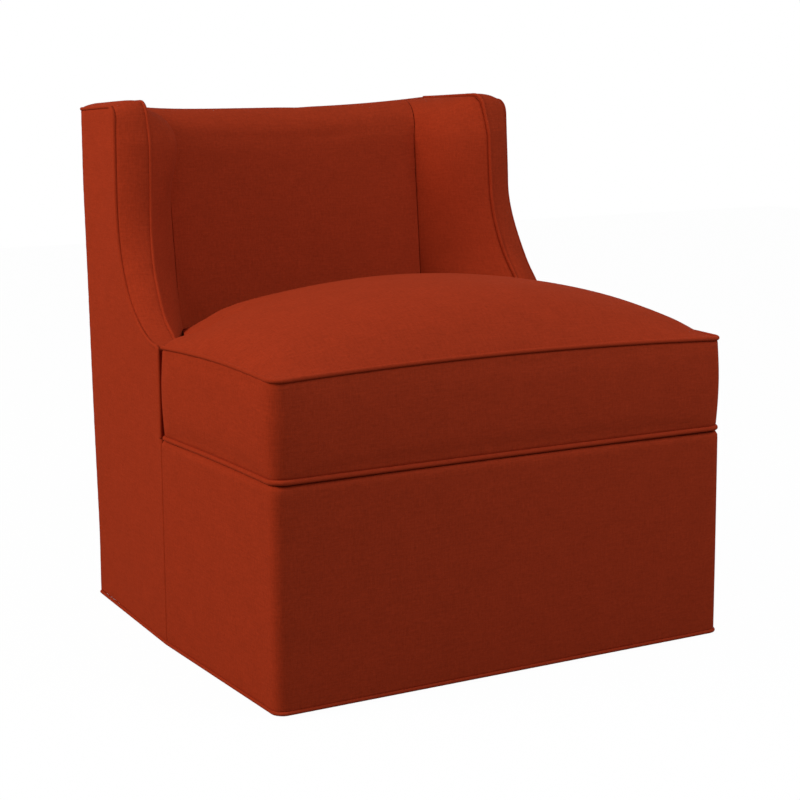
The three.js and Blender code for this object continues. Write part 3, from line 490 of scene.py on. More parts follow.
def woven_group():
    """Plain weave with slubs, a soft mottle and fine painted glints of the threads, on a map in metres."""
    tree, given, out = group("woven_cloth", [
        ("Map", "NodeSocketVector", None),
        ("Colour", "NodeSocketColor", (0.3, 0.03, 0.01, 1.0)),
        ("Mottle", "NodeSocketFloat", 0.1),
        ("Slub", "NodeSocketFloat", 0.2),
        ("Threads", "NodeSocketFloat", 1400.0),
        ("Glint", "NodeSocketFloat", 0.018),
    ], [("Colour", "NodeSocketColor"), ("Height", "NodeSocketFloat"), ("Roughness", "NodeSocketFloat")])
    split = node(tree, "ShaderNodeSeparateXYZ", {0: given.outputs["Map"]})
    heights = []
    for axis, other in (("X", "Y"), ("Y", "X")):
        along = math_node(tree, "MULTIPLY", split.outputs[axis], 55.0)
        over = math_node(tree, "MULTIPLY", split.outputs[other], 900.0)
        place = node(tree, "ShaderNodeCombineXYZ", {0: along, 1: over, 2: 3.7 if axis == "X" else 9.1})
        slub = node(tree, "ShaderNodeTexNoise", {"Vector": place.outputs[0], "Scale": 1.0, "Detail": 2.0})
        thread = math_node(tree, "SINE", math_node(tree, "MULTIPLY", split.outputs[axis],
                                                   given.outputs["Threads"]))
        heights.append((slub.outputs["Fac"], thread))
    slubs = math_node(tree, "ADD", heights[0][0], heights[1][0])
    slubs = math_node(tree, "SUBTRACT", slubs, 1.0)
    weave = math_node(tree, "MULTIPLY", heights[0][1], heights[1][1])
    mottle = node(tree, "ShaderNodeTexNoise", {"Vector": given.outputs["Map"], "Scale": 26.0, "Detail": 5.0,
                                               "Roughness": 0.65})
    flecks = node(tree, "ShaderNodeTexNoise", {"Vector": given.outputs["Map"], "Scale": 240.0, "Detail": 2.0,
                                               "Roughness": 0.6})
    cloudy = math_node(tree, "SUBTRACT", mottle.outputs["Fac"], 0.5)
    cloudy = math_node(tree, "ADD", cloudy, math_node(tree, "MULTIPLY", math_node(
        tree, "SUBTRACT", flecks.outputs["Fac"], 0.5), 2.2))
    shade = math_node(tree, "ADD", math_node(tree, "MULTIPLY", slubs, given.outputs["Slub"]),
                      math_node(tree, "MULTIPLY", cloudy, given.outputs["Mottle"]))
    shade = math_node(tree, "ADD", shade, math_node(tree, "MULTIPLY", weave, 0.05))
    value = math_node(tree, "ADD", shade, 1.0)
    tinted = node(tree, "ShaderNodeVectorMath", {0: given.outputs["Colour"], "Scale": value},
                  operation="SCALE")
    # Fine specks, lighter and darker in all three channels alike: painted glints of the threads.
    glint_specks = node(tree, "ShaderNodeTexNoise", {"Vector": given.outputs["Map"], "Scale": 850.0, "Detail": 1.0})
    glint = math_node(tree, "MULTIPLY", math_node(tree, "SUBTRACT", glint_specks.outputs["Fac"], 0.5),
                     given.outputs["Glint"])
    glint = node(tree, "ShaderNodeCombineXYZ", {0: glint, 1: glint, 2: glint})
    tinted = node(tree, "ShaderNodeVectorMath", {0: tinted.outputs[0], 1: glint.outputs[0]}, operation="ADD")
    height = math_node(tree, "ADD", math_node(tree, "MULTIPLY", slubs, 1.5),
                       math_node(tree, "MULTIPLY", weave, 0.5))
    rough = math_node(tree, "ADD", math_node(tree, "MULTIPLY", slubs, -0.1), 0.9)
    tree.links.new(tinted.outputs[0], out.inputs["Colour"])
    tree.links.new(height, out.inputs["Height"])
    tree.links.new(rough, out.inputs["Roughness"])
    return tree


woven = woven_group()


def cloth_material(name, colour, sheen=0.05, mottle=0.19, slub=0.34, threads=5200.0, bump=0.3, flat_map=True):
    """A woven cloth, on a piece's own weave map or on its place in the chair."""
    material = bpy.data.materials.new(name)
    tree = emptied(material)
    look = node(tree, "ShaderNodeGroup", node_tree=woven)
    if flat_map:
        place = node(tree, "ShaderNodeUVMap", uv_map="weave").outputs[0]
    else:
        place = node(tree, "ShaderNodeTexCoord").outputs["Object"]
    tree.links.new(place, look.inputs["Map"])
    # Strength of the painted thread glints: stronger on the rust cloths than on the dark ones.
    glint = 0.018 if colour[0] > 0.1 else 0.003
    for key, value in (("Colour", colour), ("Mottle", mottle), ("Slub", slub), ("Threads", threads),
                       ("Glint", glint)):
        look.inputs[key].default_value = value
    bumped = node(tree, "ShaderNodeBump", {"Height": look.outputs["Height"], "Distance": 0.0002,
                                           "Strength": bump})
    shader = node(tree, "ShaderNodeBsdfPrincipled", {
        "Base Color": look.outputs["Colour"], "Roughness": look.outputs["Roughness"],
        "Normal": bumped.outputs[0], "Sheen Weight": sheen, "Sheen Roughness": 0.45,
        "Sheen Tint": (0.9, 0.2, 0.08, 1.0), "Specular IOR Level": 0.02,
    })
    ended(tree, shader.outputs[0])
    return material


rust = (0.325, 0.0315, 0.0092, 1.0)
rust_cloth = cloth_material("rust_cloth", rust)
rust_bias = cloth_material("rust_bias_strip", rust, mottle=0.08)
black_lining = cloth_material("black_lining", (0.012, 0.012, 0.013, 1.0), sheen=0.05, mottle=0.3)
deck_twill = cloth_material("deck_twill", (0.018, 0.017, 0.016, 1.0), sheen=0.05, threads=3600.0)
zip_tape_cloth = cloth_material("zip_tape_cloth", (0.20, 0.022, 0.008, 1.0), threads=7000.0, flat_map=False)
deck_thread = cloth_material("deck_thread", (0.05, 0.048, 0.045, 1.0), mottle=0.05, flat_map=False)


def surface_group():
    """Grain stretched along X, layers stacked along Z, and fine pores, on a map in metres."""
    tree, given, out = group("raw_surface", [
        ("Map", "NodeSocketVector", None),
        ("Light", "NodeSocketColor", (0.6, 0.45, 0.3, 1.0)),
        ("Dark", "NodeSocketColor", (0.4, 0.25, 0.12, 1.0)),
        ("Stretch", "NodeSocketFloat", 20.0),
        ("Scale", "NodeSocketFloat", 120.0),
        ("Layer", "NodeSocketFloat", 0.0015),
        ("Layering", "NodeSocketFloat", 0.0),
        ("Rough", "NodeSocketFloat", 0.7),
    ], [("Colour", "NodeSocketColor"), ("Height", "NodeSocketFloat"), ("Roughness", "NodeSocketFloat")])
    split = node(tree, "ShaderNodeSeparateXYZ", {0: given.outputs["Map"]})
    along = math_node(tree, "DIVIDE", split.outputs["X"], given.outputs["Stretch"])
    place = node(tree, "ShaderNodeCombineXYZ", {0: along, 1: split.outputs["Y"], 2: split.outputs["Z"]})
    fine_grain = node(tree, "ShaderNodeTexNoise", {
        "Vector": place.outputs[0], "Scale": given.outputs["Scale"], "Detail": 4.0, "Roughness": 0.6,
        "Distortion": 0.4,
    })
    broad = node(tree, "ShaderNodeTexNoise", {"Vector": place.outputs[0], "Scale": math_node(
        tree, "MULTIPLY", given.outputs["Scale"], 0.15), "Detail": 3.0, "Distortion": 1.2})
    layer = math_node(tree, "FLOOR", math_node(tree, "DIVIDE", split.outputs["Z"], given.outputs["Layer"]))
    layer = math_node(tree, "PINGPONG", layer, 1.0)
    mixed = math_node(tree, "ADD", math_node(tree, "MULTIPLY", fine_grain.outputs["Fac"], 0.55),
                      math_node(tree, "MULTIPLY", broad.outputs["Fac"], 0.55))
    mixed = math_node(tree, "ADD", mixed, math_node(tree, "MULTIPLY", layer, given.outputs["Layering"]))
    ramp = node(tree, "ShaderNodeMapRange", {"Value": mixed, "From Min": 0.35, "From Max": 0.85})
    colour = node(tree, "ShaderNodeMix", {
        0: ramp.outputs[0], 6: given.outputs["Light"], 7: given.outputs["Dark"],
    }, data_type="RGBA")
    rough = math_node(tree, "ADD", given.outputs["Rough"], math_node(tree, "MULTIPLY", math_node(
        tree, "SUBTRACT", fine_grain.outputs["Fac"], 0.5), 0.25))
    tree.links.new(colour.outputs[2], out.inputs["Colour"])
    tree.links.new(mixed, out.inputs["Height"])
    tree.links.new(rough, out.inputs["Roughness"])
    return tree


raw_surface = surface_group()


def raw_material(name, light, dark, axes="XYZ", stretch=20.0, scale=120.0, layer=0.0015, layering=0.0,
                 rough=0.7, bump=0.3, distance=0.0003, metallic=0.0, specular=0.3):
    """A finish that runs along the first of three axes and is layered along the last."""
    material = bpy.data.materials.new(name)
    tree = emptied(material)
    place = node(tree, "ShaderNodeTexCoord")
    split = node(tree, "ShaderNodeSeparateXYZ", {0: place.outputs["Object"]})
    turned = node(tree, "ShaderNodeCombineXYZ", {i: split.outputs[axis] for i, axis in enumerate(axes)})
    look = node(tree, "ShaderNodeGroup", node_tree=raw_surface)
    tree.links.new(turned.outputs[0], look.inputs["Map"])
    for key, value in (("Light", (*light, 1.0)), ("Dark", (*dark, 1.0)), ("Stretch", stretch),
                       ("Scale", scale), ("Layer", layer), ("Layering", layering), ("Rough", rough)):
        look.inputs[key].default_value = value
    bumped = node(tree, "ShaderNodeBump", {"Height": look.outputs["Height"], "Distance": distance,
                                           "Strength": bump})
    shader = node(tree, "ShaderNodeBsdfPrincipled", {
        "Base Color": look.outputs["Colour"], "Roughness": look.outputs["Roughness"], "Metallic": metallic,
        "Normal": bumped.outputs[0], "Specular IOR Level": specular,
    })
    ended(tree, shader.outputs[0])
    return material


def boards(name, axes):
    return raw_material(name, (0.66, 0.48, 0.30), (0.42, 0.26, 0.13), axes, 25.0, 140.0, 0.0026, 0.45, 0.75)


def timber(name, axes):
    return raw_material(name, (0.56, 0.36, 0.19), (0.33, 0.18, 0.08), axes, 18.0, 90.0, rough=0.65)


side_ply = boards("side_plywood", "YZX")
cross_ply = boards("cross_plywood", "XZY")
upright_timber = timber("upright_hardwood", "ZXY")
cross_timber = timber("cross_hardwood", "XYZ")
deep_timber = timber("deep_hardwood", "YXZ")
cut_foam = raw_material("cut_foam", (0.82, 0.74, 0.50), (0.66, 0.56, 0.33), stretch=1.0, scale=900.0,
                        rough=0.95, bump=0.8, distance=0.0008, specular=0.1)
polyester_fibre = raw_material("polyester_fibre", (0.90, 0.89, 0.86), (0.66, 0.65, 0.62), stretch=6.0,
                               scale=420.0, rough=0.98, bump=0.9, distance=0.0012, specular=0.1)
felted_pad = raw_material("felted_pad", (0.42, 0.40, 0.38), (0.12, 0.13, 0.16), stretch=3.0, scale=300.0,
                          rough=0.98, bump=0.9, distance=0.0010, specular=0.1)
spring_steel = raw_material("spring_steel", (0.30, 0.31, 0.32), (0.13, 0.13, 0.14), stretch=1.0, scale=500.0,
                            rough=0.38, bump=0.15, distance=0.0001, metallic=1.0, specular=0.5)
jute = raw_material("jute_webbing", (0.50, 0.36, 0.18), (0.22, 0.14, 0.06), "XYZ", 1.0, 500.0, 0.0017, 0.30,
                    rough=0.95, bump=0.8, distance=0.0008, specular=0.1)
glide_nylon = raw_material("glide_nylon", (0.030, 0.030, 0.032), (0.016, 0.016, 0.017), stretch=1.0,
                           scale=260.0, rough=0.45, bump=0.2, distance=0.0001, specular=0.5)
zip_nylon = raw_material("zip_nylon", (0.30, 0.045, 0.018), (0.22, 0.030, 0.012), stretch=1.0, scale=700.0,
                         rough=0.4, bump=0.1, distance=0.0001, specular=0.5)
zip_zinc = raw_material("zip_zinc", (0.56, 0.55, 0.53), (0.36, 0.35, 0.34), stretch=4.0, scale=800.0,
                        rough=0.3, bump=0.15, distance=0.00005, metallic=1.0, specular=0.5)


chair_heart = (0.0, 0.0, 0.18)


# Base cover
def base_half_plan(inset):
    return run(arc((base_half - base_corner, base_corner), (base_corner - inset,) * 2, -90, 0),
               (seam_half - inset, seam_depth - ease / 2))


def base_profile():
    """Inset and height from the foot of the cover to the shoulder's top."""
    turn = np.radians(np.linspace(0, 90, 9))
    bend = np.stack([shoulder * (1 - np.cos(turn)), deck - shoulder + shoulder * np.sin(turn)], 1)
    return run((0.0, skirt_foot), bend)


def base_grid():
    profile = base_profile()
    tall = lengths(profile)[-1]
    profile = resampled(profile, stations(tall, True, False, 0.006))
    plan = run(mirrored_plan(base_half_plan(0.0))[::-1], base_half_plan(0.0))
    shares = stations(lengths(plan)[-1], True, True, 0.007)
    rows = []
    for inset, height in profile:
        half = base_half_plan(inset)
        whole = run(mirrored_plan(half)[::-1], half)
        rows.append(placed(resampled(whole, shares), height))
    return np.array(rows)


def base_cover():
    points = base_grid()
    x, y, z = (points[..., k] for k in range(3))
    waves = cover_wave * np.sin(x * 21 + 1.3) * np.sin(y * 17 + z * 9)
    points = sewn(points, chair_heart, waves, side_seam_roll, side_seam_roll, hem_roll, 0.0)
    piece = cloth("base_cloth", points, chair_heart)
    dress(piece, rust_cloth, "chair", "fabric", "base_cover")


base_cover()


def footprint(inset):
    rear = rear_depth + rear_fullness + rear_flare
    half = run((0.0, inset), base_half_plan(inset)[:-1], (seam_half - inset, seam_depth),
               arc((rear_half - rear_corner, rear - rear_corner), (rear_corner - inset,) * 2, 0, 90),
               (0.0, rear - inset))
    return run(half, mirrored_plan(half[1:-1])[::-1])


base_piping = piping("base_piping", placed(footprint(0.0), glide_drop + 0.0025), closed=True)
dress(base_piping, rust_bias, "chair", "welt", "base_welt")


# Wings
def tuck_at(height):
    """How far a wing leans in towards its top."""
    return wing_tuck * smooth((height - wing_top) / tuck_reach + 1)


def wing_point(v, w, height):
    v, w, height = np.broadcast_arrays(np.asarray(v, float), w, height)
    x = seam_half - v * math.sin(taper) - w * math.cos(taper) - tuck_at(height)
    depth = seam_depth + v * math.cos(taper) - w * math.sin(taper)
    return np.stack([x, front_face + depth, height], -1)


def rear_at(height):
    flare = rear_flare * (1 - smooth(height / flare_reach))
    head = rear_head * smooth((height - wing_top + head_start) / head_reach)
    return rear_depth + rear_fullness + flare + head + (height - glide_drop) * rear_rake


def rear_set(height, inset):
    return (rear_at(height) - seam_depth - inset) / math.cos(taper)


def wing_edge(inset, rear_inset, foot):
    """The front and top edge of a wing as distances back and up, in two lines that meet on its head."""
    toe = max(toe_radius - inset, ease)
    head = max(head_radius - inset, ease)
    front = wing_set + wing_lean + inset
    top = wing_top - wing_fall - inset
    corner = (front + head, wing_top - inset - head)
    rising = run((inset, foot), arc((inset + toe, swoop - inset - toe), (toe, toe), 180, 90, 8),
                 arc((toe_radius, swoop + swoop_rise), (wing_set - toe_radius + inset, swoop_rise + inset),
                     -90, 0, 48), arc(corner, (head, head), 180, 135, 6))
    over = run(arc(corner, (head, head), 135, 90, 6), (rear_set(top, rear_inset), top))
    return rising, over


def whole_edge(inset, rear_inset, foot=deck + ease, step=0.006):
    """The same edge in one line of evenly spaced points, with its lean eased in."""
    line = run(*wing_edge(inset, rear_inset, foot))
    count = int(round(lengths(line)[-1] / step))
    line = resampled(line, np.linspace(0, 1, count + 1))
    for _ in range(3):
        line[1:-1] = line[1:-1] * 0.5 + (line[:-2] + line[2:]) * 0.25
    return line


def inner_offset(height):
    width = lerp(wing_foot_width, wing_head_width, smooth((height - swoop) / width_rise))
    lead = smooth((height - swoop) / lead_start)
    lead = lead * lerp(lead_low_share, 1.0, smooth((height - swoop - lead_full + lead_ease) / lead_ease))
    lead = lead * lerp(lead_top_share, 1.0, smooth((wing_top - height) / lead_fall))
    return width, inner_lead * lead


def top_share(height):
    """0 on the upright part of a wing's edge and 1 along its top."""
    return smooth((height - wing_top + rise_start) / rise_reach)


def swell_at(side, height):
    """How far the outer edge of a wing stands forward over the swoop, which differs between the two."""
    low = smooth((height - swoop) / swell_foot)
    return forward_swell[side] * low * (1 - smooth((height - swoop - swell_top) / swell_reach))


def outer_line(edge, side, depth=0.0):
    return wing_point(edge[:, 0] - swell_at(side, edge[:, 1]), depth, edge[:, 1])


def inner_line(edge, side, depth=0.0):
    width, lead = inner_offset(edge[:, 1])
    lead = lead * (1 - smooth((edge[:, 0] - edge[-1, 0]) / lead_end + 1))
    deep = width - depth
    height = edge[:, 1] + inner_rise[side] * top_share(edge[:, 1])
    return wing_point(edge[:, 0] - lead + deep * math.tan(taper), deep, height)


def pair(make):
    """Makes a piece for the right side and its mirror image for the left."""
    return [make("right", lambda points: points), make("left", mirrored)]


def outside_wing(side, turn):
    rising, over = wing_edge(welt_clear - 0.002, rear_skin, deck - shoulder)
    left = run((ease / 2, skirt_foot), (ease / 2, deck - shoulder - 0.004), rising)
    left[:, 0] -= swell_at(side, left[:, 1])
    rear_top = over[-1]
    heights = np.r_[np.linspace(skirt_foot, flare_reach, 12), rear_top[1]]
    right = np.column_stack([rear_set(heights, 0.0), heights])
    top = run(over[:-1], right[-1])
    v = stations(lengths(left)[-1], True, True, 0.008)
    u = stations(rear_set(swoop, 0.0), True, True, 0.008)
    flat = patch(resampled(run(left[0], right[0]), u), resampled(top, u), resampled(left, v),
                 resampled(right, v), u, v)
    points = wing_point(flat[..., 0], 0.0, flat[..., 1])
    pad = wing_wave * np.sin(flat[..., 0] * 19) * np.sin(flat[..., 1] * 13 + 0.6)
    front = lerp(side_seam_roll, front_roll, smooth((points[:, :1, 2] - deck + shoulder) / shoulder))
    points = turn(sewn(points, chair_heart, pad, front, rear_roll, hem_roll, welt_roll))
    piece = cloth(f"outside_wing_cloth_{side}", points, chair_heart, ats=[flat])
    return dress(piece, rust_cloth, "chair", "fabric", f"outside_wing_panel_{side}")


def wing_band(side, turn):
    edge = whole_edge(0.0, rear_skin)
    outer = outer_line(edge, side)
    inner = inner_line(edge, side)
    across = stations(wing_foot_width, True, True, 0.005)
    flat = outer[:, None] + (inner - outer)[:, None] * across[None, :, None]
    crown = lerp(band_crown, band_top_crown, top_share(edge[:, 1])) * smooth((edge[:, 1] - swoop) / lead_rise)
    away = np.array((0.3, 0.3, 0.4))
    points = turn(sewn(flat, away, crown[:, None] * arch(across)[None, :] ** 0.8, welt_roll, welt_roll))
    piece = cloth(f"wing_band_{side}", points, turn(away))
    settled(piece, 2.0, 0.002)
    return dress(piece, rust_cloth, "chair", "fabric", f"wing_boxing_{side}")


def wing_pipings(side, turn):
    edge = whole_edge(0.001, rear_skin, step=0.004)
    for name, line in (("outer", outer_line(edge, side, 0.001)), ("inner", inner_line(edge, side, 0.001))):
        made = piping(f"wing_{name}_piping_{side}", turn(line))
        dress(made, rust_bias, "chair", "welt", f"wing_{name}_welt_{side}")


pair(outside_wing)
pair(wing_band)
pair(wing_pipings)


# Inside back and inside wings
def side_half(depth):
    return seam_half - (depth - seam_depth) * math.tan(taper)


rear_inner_half = side_half(rear_at(wing_top - wing_fall)) - wing_head_width - wing_tuck


def rear_climb(x):
    """How far the top of the back stands above its middle: it climbs to the wings, later on the left."""
    out = np.clip(np.abs(x) / rear_inner_half, 0.0, 1.0)
    climbs = [(wing_top - wing_fall + inner_rise[side] - back_top + back_sag) * out ** climb_power[side]
              for side in ("right", "left")]
    return np.where(np.asarray(x) > 0, *climbs)


def raised(points, share=1.0):
    """The top of the inside back lifted to the level of its rear edge."""
    rolling = smooth((points[..., 2] - roll_start) / roll_height)
    lift = (rear_climb(points[..., 0]) - back_sag) * rolling * share
    return points + lift[..., None] * np.array((0.0, 0.0, 1.0))


def seam_x(height):
    """Distance of the seam beside the inside back from the middle."""
    return lerp(back_half_low, back_half_high, np.clip((height - swoop) / (roll_start - swoop), 0.0, 1.0))


def face_line(share, heights, side):
    """A line up the inside face at a share of its half width, then over the roll."""
    shift = seam_shift[side]
    bow = inside_bow * (1 - share ** 2)
    start = inside_depth + max(roll_start - swoop, 0) * inside_lean + bow
    end = rear_at(back_top) - rear_skin - welt_clear
    centre = end - roll_shelf
    face = [(share * (seam_x(height) + shift),
             inside_depth + max(height - swoop, 0) * inside_lean + bow, height) for height in heights]
    over = arc((centre, roll_start), (centre - start, roll_height), 180, 90, 14)[1:]
    over = run(over, (end + 0.003, back_top))
    widths = share * (np.linspace(back_half_high, back_half_rear, len(over) + 1)[1:] + shift)
    line = np.array([*face, *np.column_stack([widths, over])])
    return line + np.array((0.0, front_face, 0.0))


def tucked(line):
    """The line in which the inside back and an inside wing are sewn together, behind their faces."""
    inward = np.array((back_half_high, front_face + 0.72, 0.50)) - line
    return line + seam_tuck * inward / np.linalg.norm(inward, axis=1, keepdims=True)


face_heights = np.r_[np.linspace(deck + ease, swoop, 8)[:-1], np.linspace(swoop, roll_start, 22)]


def inside_back():
    shares = stations(2 * back_half_low, True, True)
    lines = [face_line(share, face_heights, "right" if share > 0 else "left")
             for share in lerp(-1.0, 1.0, shares)]
    points = raised(np.array(lines).transpose(1, 0, 2))
    away = (0.0, front_face + 0.7, 0.45)
    full = smooth(points[..., 0] / roll_blend) * smooth((points[..., 2] - roll_start) / roll_height)
    padded = sewn(points, away, roll_fullness * full, seam_roll, seam_roll, 0.0, top_roll)
    padded[:, 0] = mirrored(tucked(mirrored(points[:, 0])))
    padded[:, -1] = tucked(points[:, -1])
    piece = cloth("inside_back_cloth", padded, away)
    settled(piece, 3.0, 0.003)
    return dress(piece, rust_cloth, "chair", "fabric", "inside_back_panel")


def wing_fullness(side, height, share):
    """How far the filling swells an inside wing, most of all near its top."""
    risen = np.clip((height - swoop) / (back_top - swoop), 0.0, 1.0)
    foot = smooth((height - swoop) / foot_rise + 1) * (1 - smooth((height - swoop - foot_rise) / foot_reach))
    return (wing_crown[side] * arch(risen ** wing_crown_power[side]) + foot_fullness * foot) * arch(share)


def wing_uprights(side):
    edge = inner_line(whole_edge(welt_clear - 0.002, rear_skin + welt_clear), side)
    first_over = int(np.argmax(edge[:, 2] > roll_start))
    rising = edge[:first_over + 1]
    return edge, first_over, np.array([point_at(rising, rising[:, 2], height) for height in face_heights])


def inside_wing(side, turn):
    edge, first_over, uprights = wing_uprights(side)
    over = run(uprights[-1], edge[first_over:])
    seam = face_line(1.0, face_heights, side)
    rest = len(seam) - len(face_heights)
    ends = np.vstack([uprights, resampled(over, np.linspace(0, 1, rest + 1)[1:])])
    seam = turn(raised(turn(seam)))
    shares = stations(0.13, True, True, 0.006)
    points = seam[:, None] + (ends - seam)[:, None] * shares[None, :, None]
    away = np.array((0.34, front_face + 0.7, 0.45))
    pad = wing_fullness(side, points[..., 2], shares[None, :])
    padded = sewn(points, away, pad, seam_roll, welt_roll, 0.0, top_roll)
    padded[:, 0] = tucked(seam)
    piece = cloth(f"inside_wing_cloth_{side}", turn(padded), turn(away))
    settled(piece, 3.0, 0.003)
    return dress(piece, rust_cloth, "chair", "fabric", f"inside_wing_panel_{side}")


inside_back()
pair(inside_wing)


# Outside back
def top_edge(x):
    """Height of the outside back's top edge, which runs on over the ends of the wings."""
    beyond = np.clip((np.abs(x) - rear_inner_half) / wing_head_width, 0.0, 1.0)
    inner = back_top - back_sag - 0.002 + rear_climb(x)
    return lerp(inner, wing_top - wing_fall - 0.002, beyond) + band_top_crown * arch(beyond) ** 0.8


def outside_back():
    rows = stations(back_top - skirt_foot, True, True)
    columns = stations(2 * rear_half, True, True, 0.006)
    level = lerp(skirt_foot, back_top, rows)
    half = (side_half(rear_at(level)) - tuck_at(level))[:, None]
    x = half * (2 * columns - 1)[None, :]
    height = lerp(skirt_foot, top_edge(x), rows[:, None])
    points = np.stack([x, front_face + rear_at(height), height], -1)
    away = (0.0, 0.0, 0.4)
    points = sewn(points, away, 0.0, rear_roll, rear_roll, hem_roll, rear_roll)
    piece = cloth("outside_back_cloth", points, away)
    return dress(piece, rust_cloth, "chair", "fabric", "outside_back_panel")


def back_top_line():
    end = rear_inner_half + 0.004
    x = np.linspace(-end, end, 60)
    height = back_top - back_sag - 0.001 + rear_climb(x) - roll_fullness * smooth(x / roll_blend)
    return np.column_stack([x, front_face + rear_at(height) - 0.00225, height])


outside_back()
back_piping = piping("back_top_piping", back_top_line())
dress(back_piping, rust_bias, "chair", "welt", "back_top_welt")


# Seat cushion
back_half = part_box("inside_back_panel")[1].x + ease / 2
flank_turn = math.atan((seam_half - wing_foot_width - back_half) / (inside_depth - seam_depth))
rear_centre = (back_half + (inside_depth - cushion_rear + rear_round) * math.tan(flank_turn)
               - (cushion_slack + rear_round) / math.cos(flank_turn), cushion_rear - rear_round)


def drawn(start, end, depth, steps=24):
    """A straight edge drawn in at its middle."""
    start, end = np.array(start), np.array(end)
    share = np.linspace(0, 1, steps + 1)[:, None]
    inward = np.array((start[1] - end[1], end[0] - start[0])) / np.linalg.norm(end - start)
    return start + (end - start) * share + inward * depth * arch(share)


def plan_runs():
    """The right half of the plan in runs between the corners of its three patches."""
    corner = (cushion_half - cushion_corner, cushion_front + cushion_corner)
    front = drawn((-corner[0], cushion_front), (corner[0], cushion_front), draw, 60)
    inner = np.array((notch, np.interp(notch, front[:, 0], front[:, 1])))
    round_corner = arc(corner, (cushion_corner,) * 2, -90, 0, 16)
    ear_centre = (ear_half - ear_corner, ear_rear - ear_corner)
    round_ear = arc(ear_centre, (ear_corner,) * 2, 0, 90, 8)
    round_notch = arc((notch + notch_radius, ear_rear + notch_radius), (notch_radius,) * 2, -90, -180, 8)
    round_rear = arc(rear_centre, (rear_round,) * 2, math.degrees(flank_turn), 90, 12)
    return {
        "middle": run(front[(front[:, 0] > 0) & (front[:, 0] < notch)], inner),
        "ear_front": run(inner, front[front[:, 0] > notch], round_corner[:9]),
        "side": run(round_corner[8:], drawn(round_corner[-1], round_ear[0], draw), round_ear[:5]),
        "ear_rear": run(round_ear[4:], round_notch[:5]),
        "flank": run(round_notch[4:], drawn(round_notch[-1], round_rear[0], draw / 2), round_rear[:7]),
        "rear": run(round_rear[6:], (0.0, cushion_rear)),
    }


runs = plan_runs()
half_outline = run((0.0, cushion_front + draw), *runs.values())
outline = run(half_outline, mirrored_plan(half_outline[1:-1])[::-1])
crown_middle = np.array((0.0, lerp(cushion_front, cushion_rear, crown_peak)))


def reach():
    """Distance of the outline from the middle of the crown for each direction."""
    spokes = outline - crown_middle
    turn = np.arctan2(spokes[:, 1], spokes[:, 0])
    order = np.argsort(turn)
    far = np.linalg.norm(spokes, axis=1)
    return turn[order], far[order]


reach_turn, reach_far = reach()


def welt_height(plan):
    across = np.clip(np.abs(plan[..., 0]) / cushion_half, 0, 1)
    back = np.clip(plan[..., 1] / ear_rear, 0, 1)
    behind = np.clip((plan[..., 1] - ear_rear) / (cushion_rear - ear_rear), 0, 1)
    front = front_rise * (1 - across ** 2) * (1 - back) ** 2
    side = side_rise * arch(back) * across ** side_rise_power
    flank = flank_rise * smooth(behind * 5) * (1 - behind) - flank_fall * behind ** 2.2
    return swoop + front + side + flank


def crown_at(plan):
    along = (plan[..., 1] - cushion_front) / (cushion_rear - cushion_front)
    behind = np.clip((plan[..., 1] - ear_rear) / (cushion_rear - ear_rear), 0, 1)
    flank = lerp(notch, rear_centre[0] + rear_round / 2, behind)
    half = lerp(cushion_half, flank, smooth((plan[..., 1] - ear_rear + crown_narrowing) / crown_narrowing))
    power = lerp(crown_across, crown_across_rear, smooth(behind * 3))
    across = np.maximum(1 - (plan[..., 0] / half) ** 2, 0) ** power
    before = 1 - np.maximum((crown_peak - along) / crown_peak, 0) ** crown_front
    after = 1 - np.maximum((along - crown_peak) / (1 - crown_peak), 0) ** crown_rear
    crown = crown_height * across * np.maximum(np.where(along < crown_peak, before, after), 0)
    out = np.clip((np.abs(plan[..., 0]) - notch) / (cushion_half - notch), 0, 1)
    ear = ear_swell * (1 - out ** 5) * smooth(plan[..., 1] / ear_run) * (1 - 0.6 * behind)
    return np.hypot(crown, ear)


def crown_height_at(plan):
    spoke = plan - crown_middle
    far = np.maximum(np.linalg.norm(spoke, axis=-1), 1e-9)
    limit = np.interp(np.arctan2(spoke[..., 1], spoke[..., 0]), reach_turn, reach_far, period=2 * math.pi)
    share = np.clip(far / limit, 0, 1)
    rim = crown_middle + spoke * (limit / far)[..., None]
    return lerp(swoop, welt_height(rim), share ** 2) + crown_at(plan) * (1 - share ** crown_edge)


def cushion_patches():
    """The plan as a middle patch and an ear, with rows that meet."""
    inner_side = run(runs["middle"][-1], runs["flank"][0])
    rows = stations(lengths(inner_side)[-1], True, True)
    flank_rows = stations(lengths(runs["flank"])[-1], True, True)
    ear_columns = stations(0.045, False, True, 0.006)
    right = run(resampled(inner_side, rows), resampled(runs["flank"], flank_rows)[1:])
    columns = stations(2 * notch, False, False)
    front = run(mirrored_plan(runs["middle"])[::-1], runs["middle"])
    rear = run(runs["rear"], mirrored_plan(runs["rear"])[::-1])[::-1]
    v = lengths(right) / lengths(right)[-1]
    middle = patch(resampled(front, columns), resampled(rear, columns), mirrored_plan(right), right,
                   columns, v)
    ear_back = runs["ear_rear"][::-1]
    ear = patch(resampled(runs["ear_front"], ear_columns), resampled(ear_back, ear_columns),
                resampled(inner_side, rows), resampled(runs["side"], rows), ear_columns, rows)
    return middle, ear


cushion_middle, cushion_ear = cushion_patches()
cushion_heart = (0.0, 0.0, 0.37)


def cushion_map(middle, ear):
    """Weave maps of the three patches, measured over the crown from its middle line."""
    across, down = grid_lengths(middle)
    centre = middle.shape[1] // 2
    across = across - across[:, centre:centre + 1]
    ear_across, ear_down = grid_lengths(ear)
    rows = ear.shape[0]
    right = np.stack([ear_across + across[:rows, -1:], ear_down], -1)
    return [np.stack([across, down], -1), right, right * np.array((-1.0, 1.0))]


def lap(gap, reach_out):
    """How far the top swells out over its welt at a distance from it."""
    return reach_out * arch((np.clip(gap, 0.0, lap_reach) / lap_reach) ** 0.40)


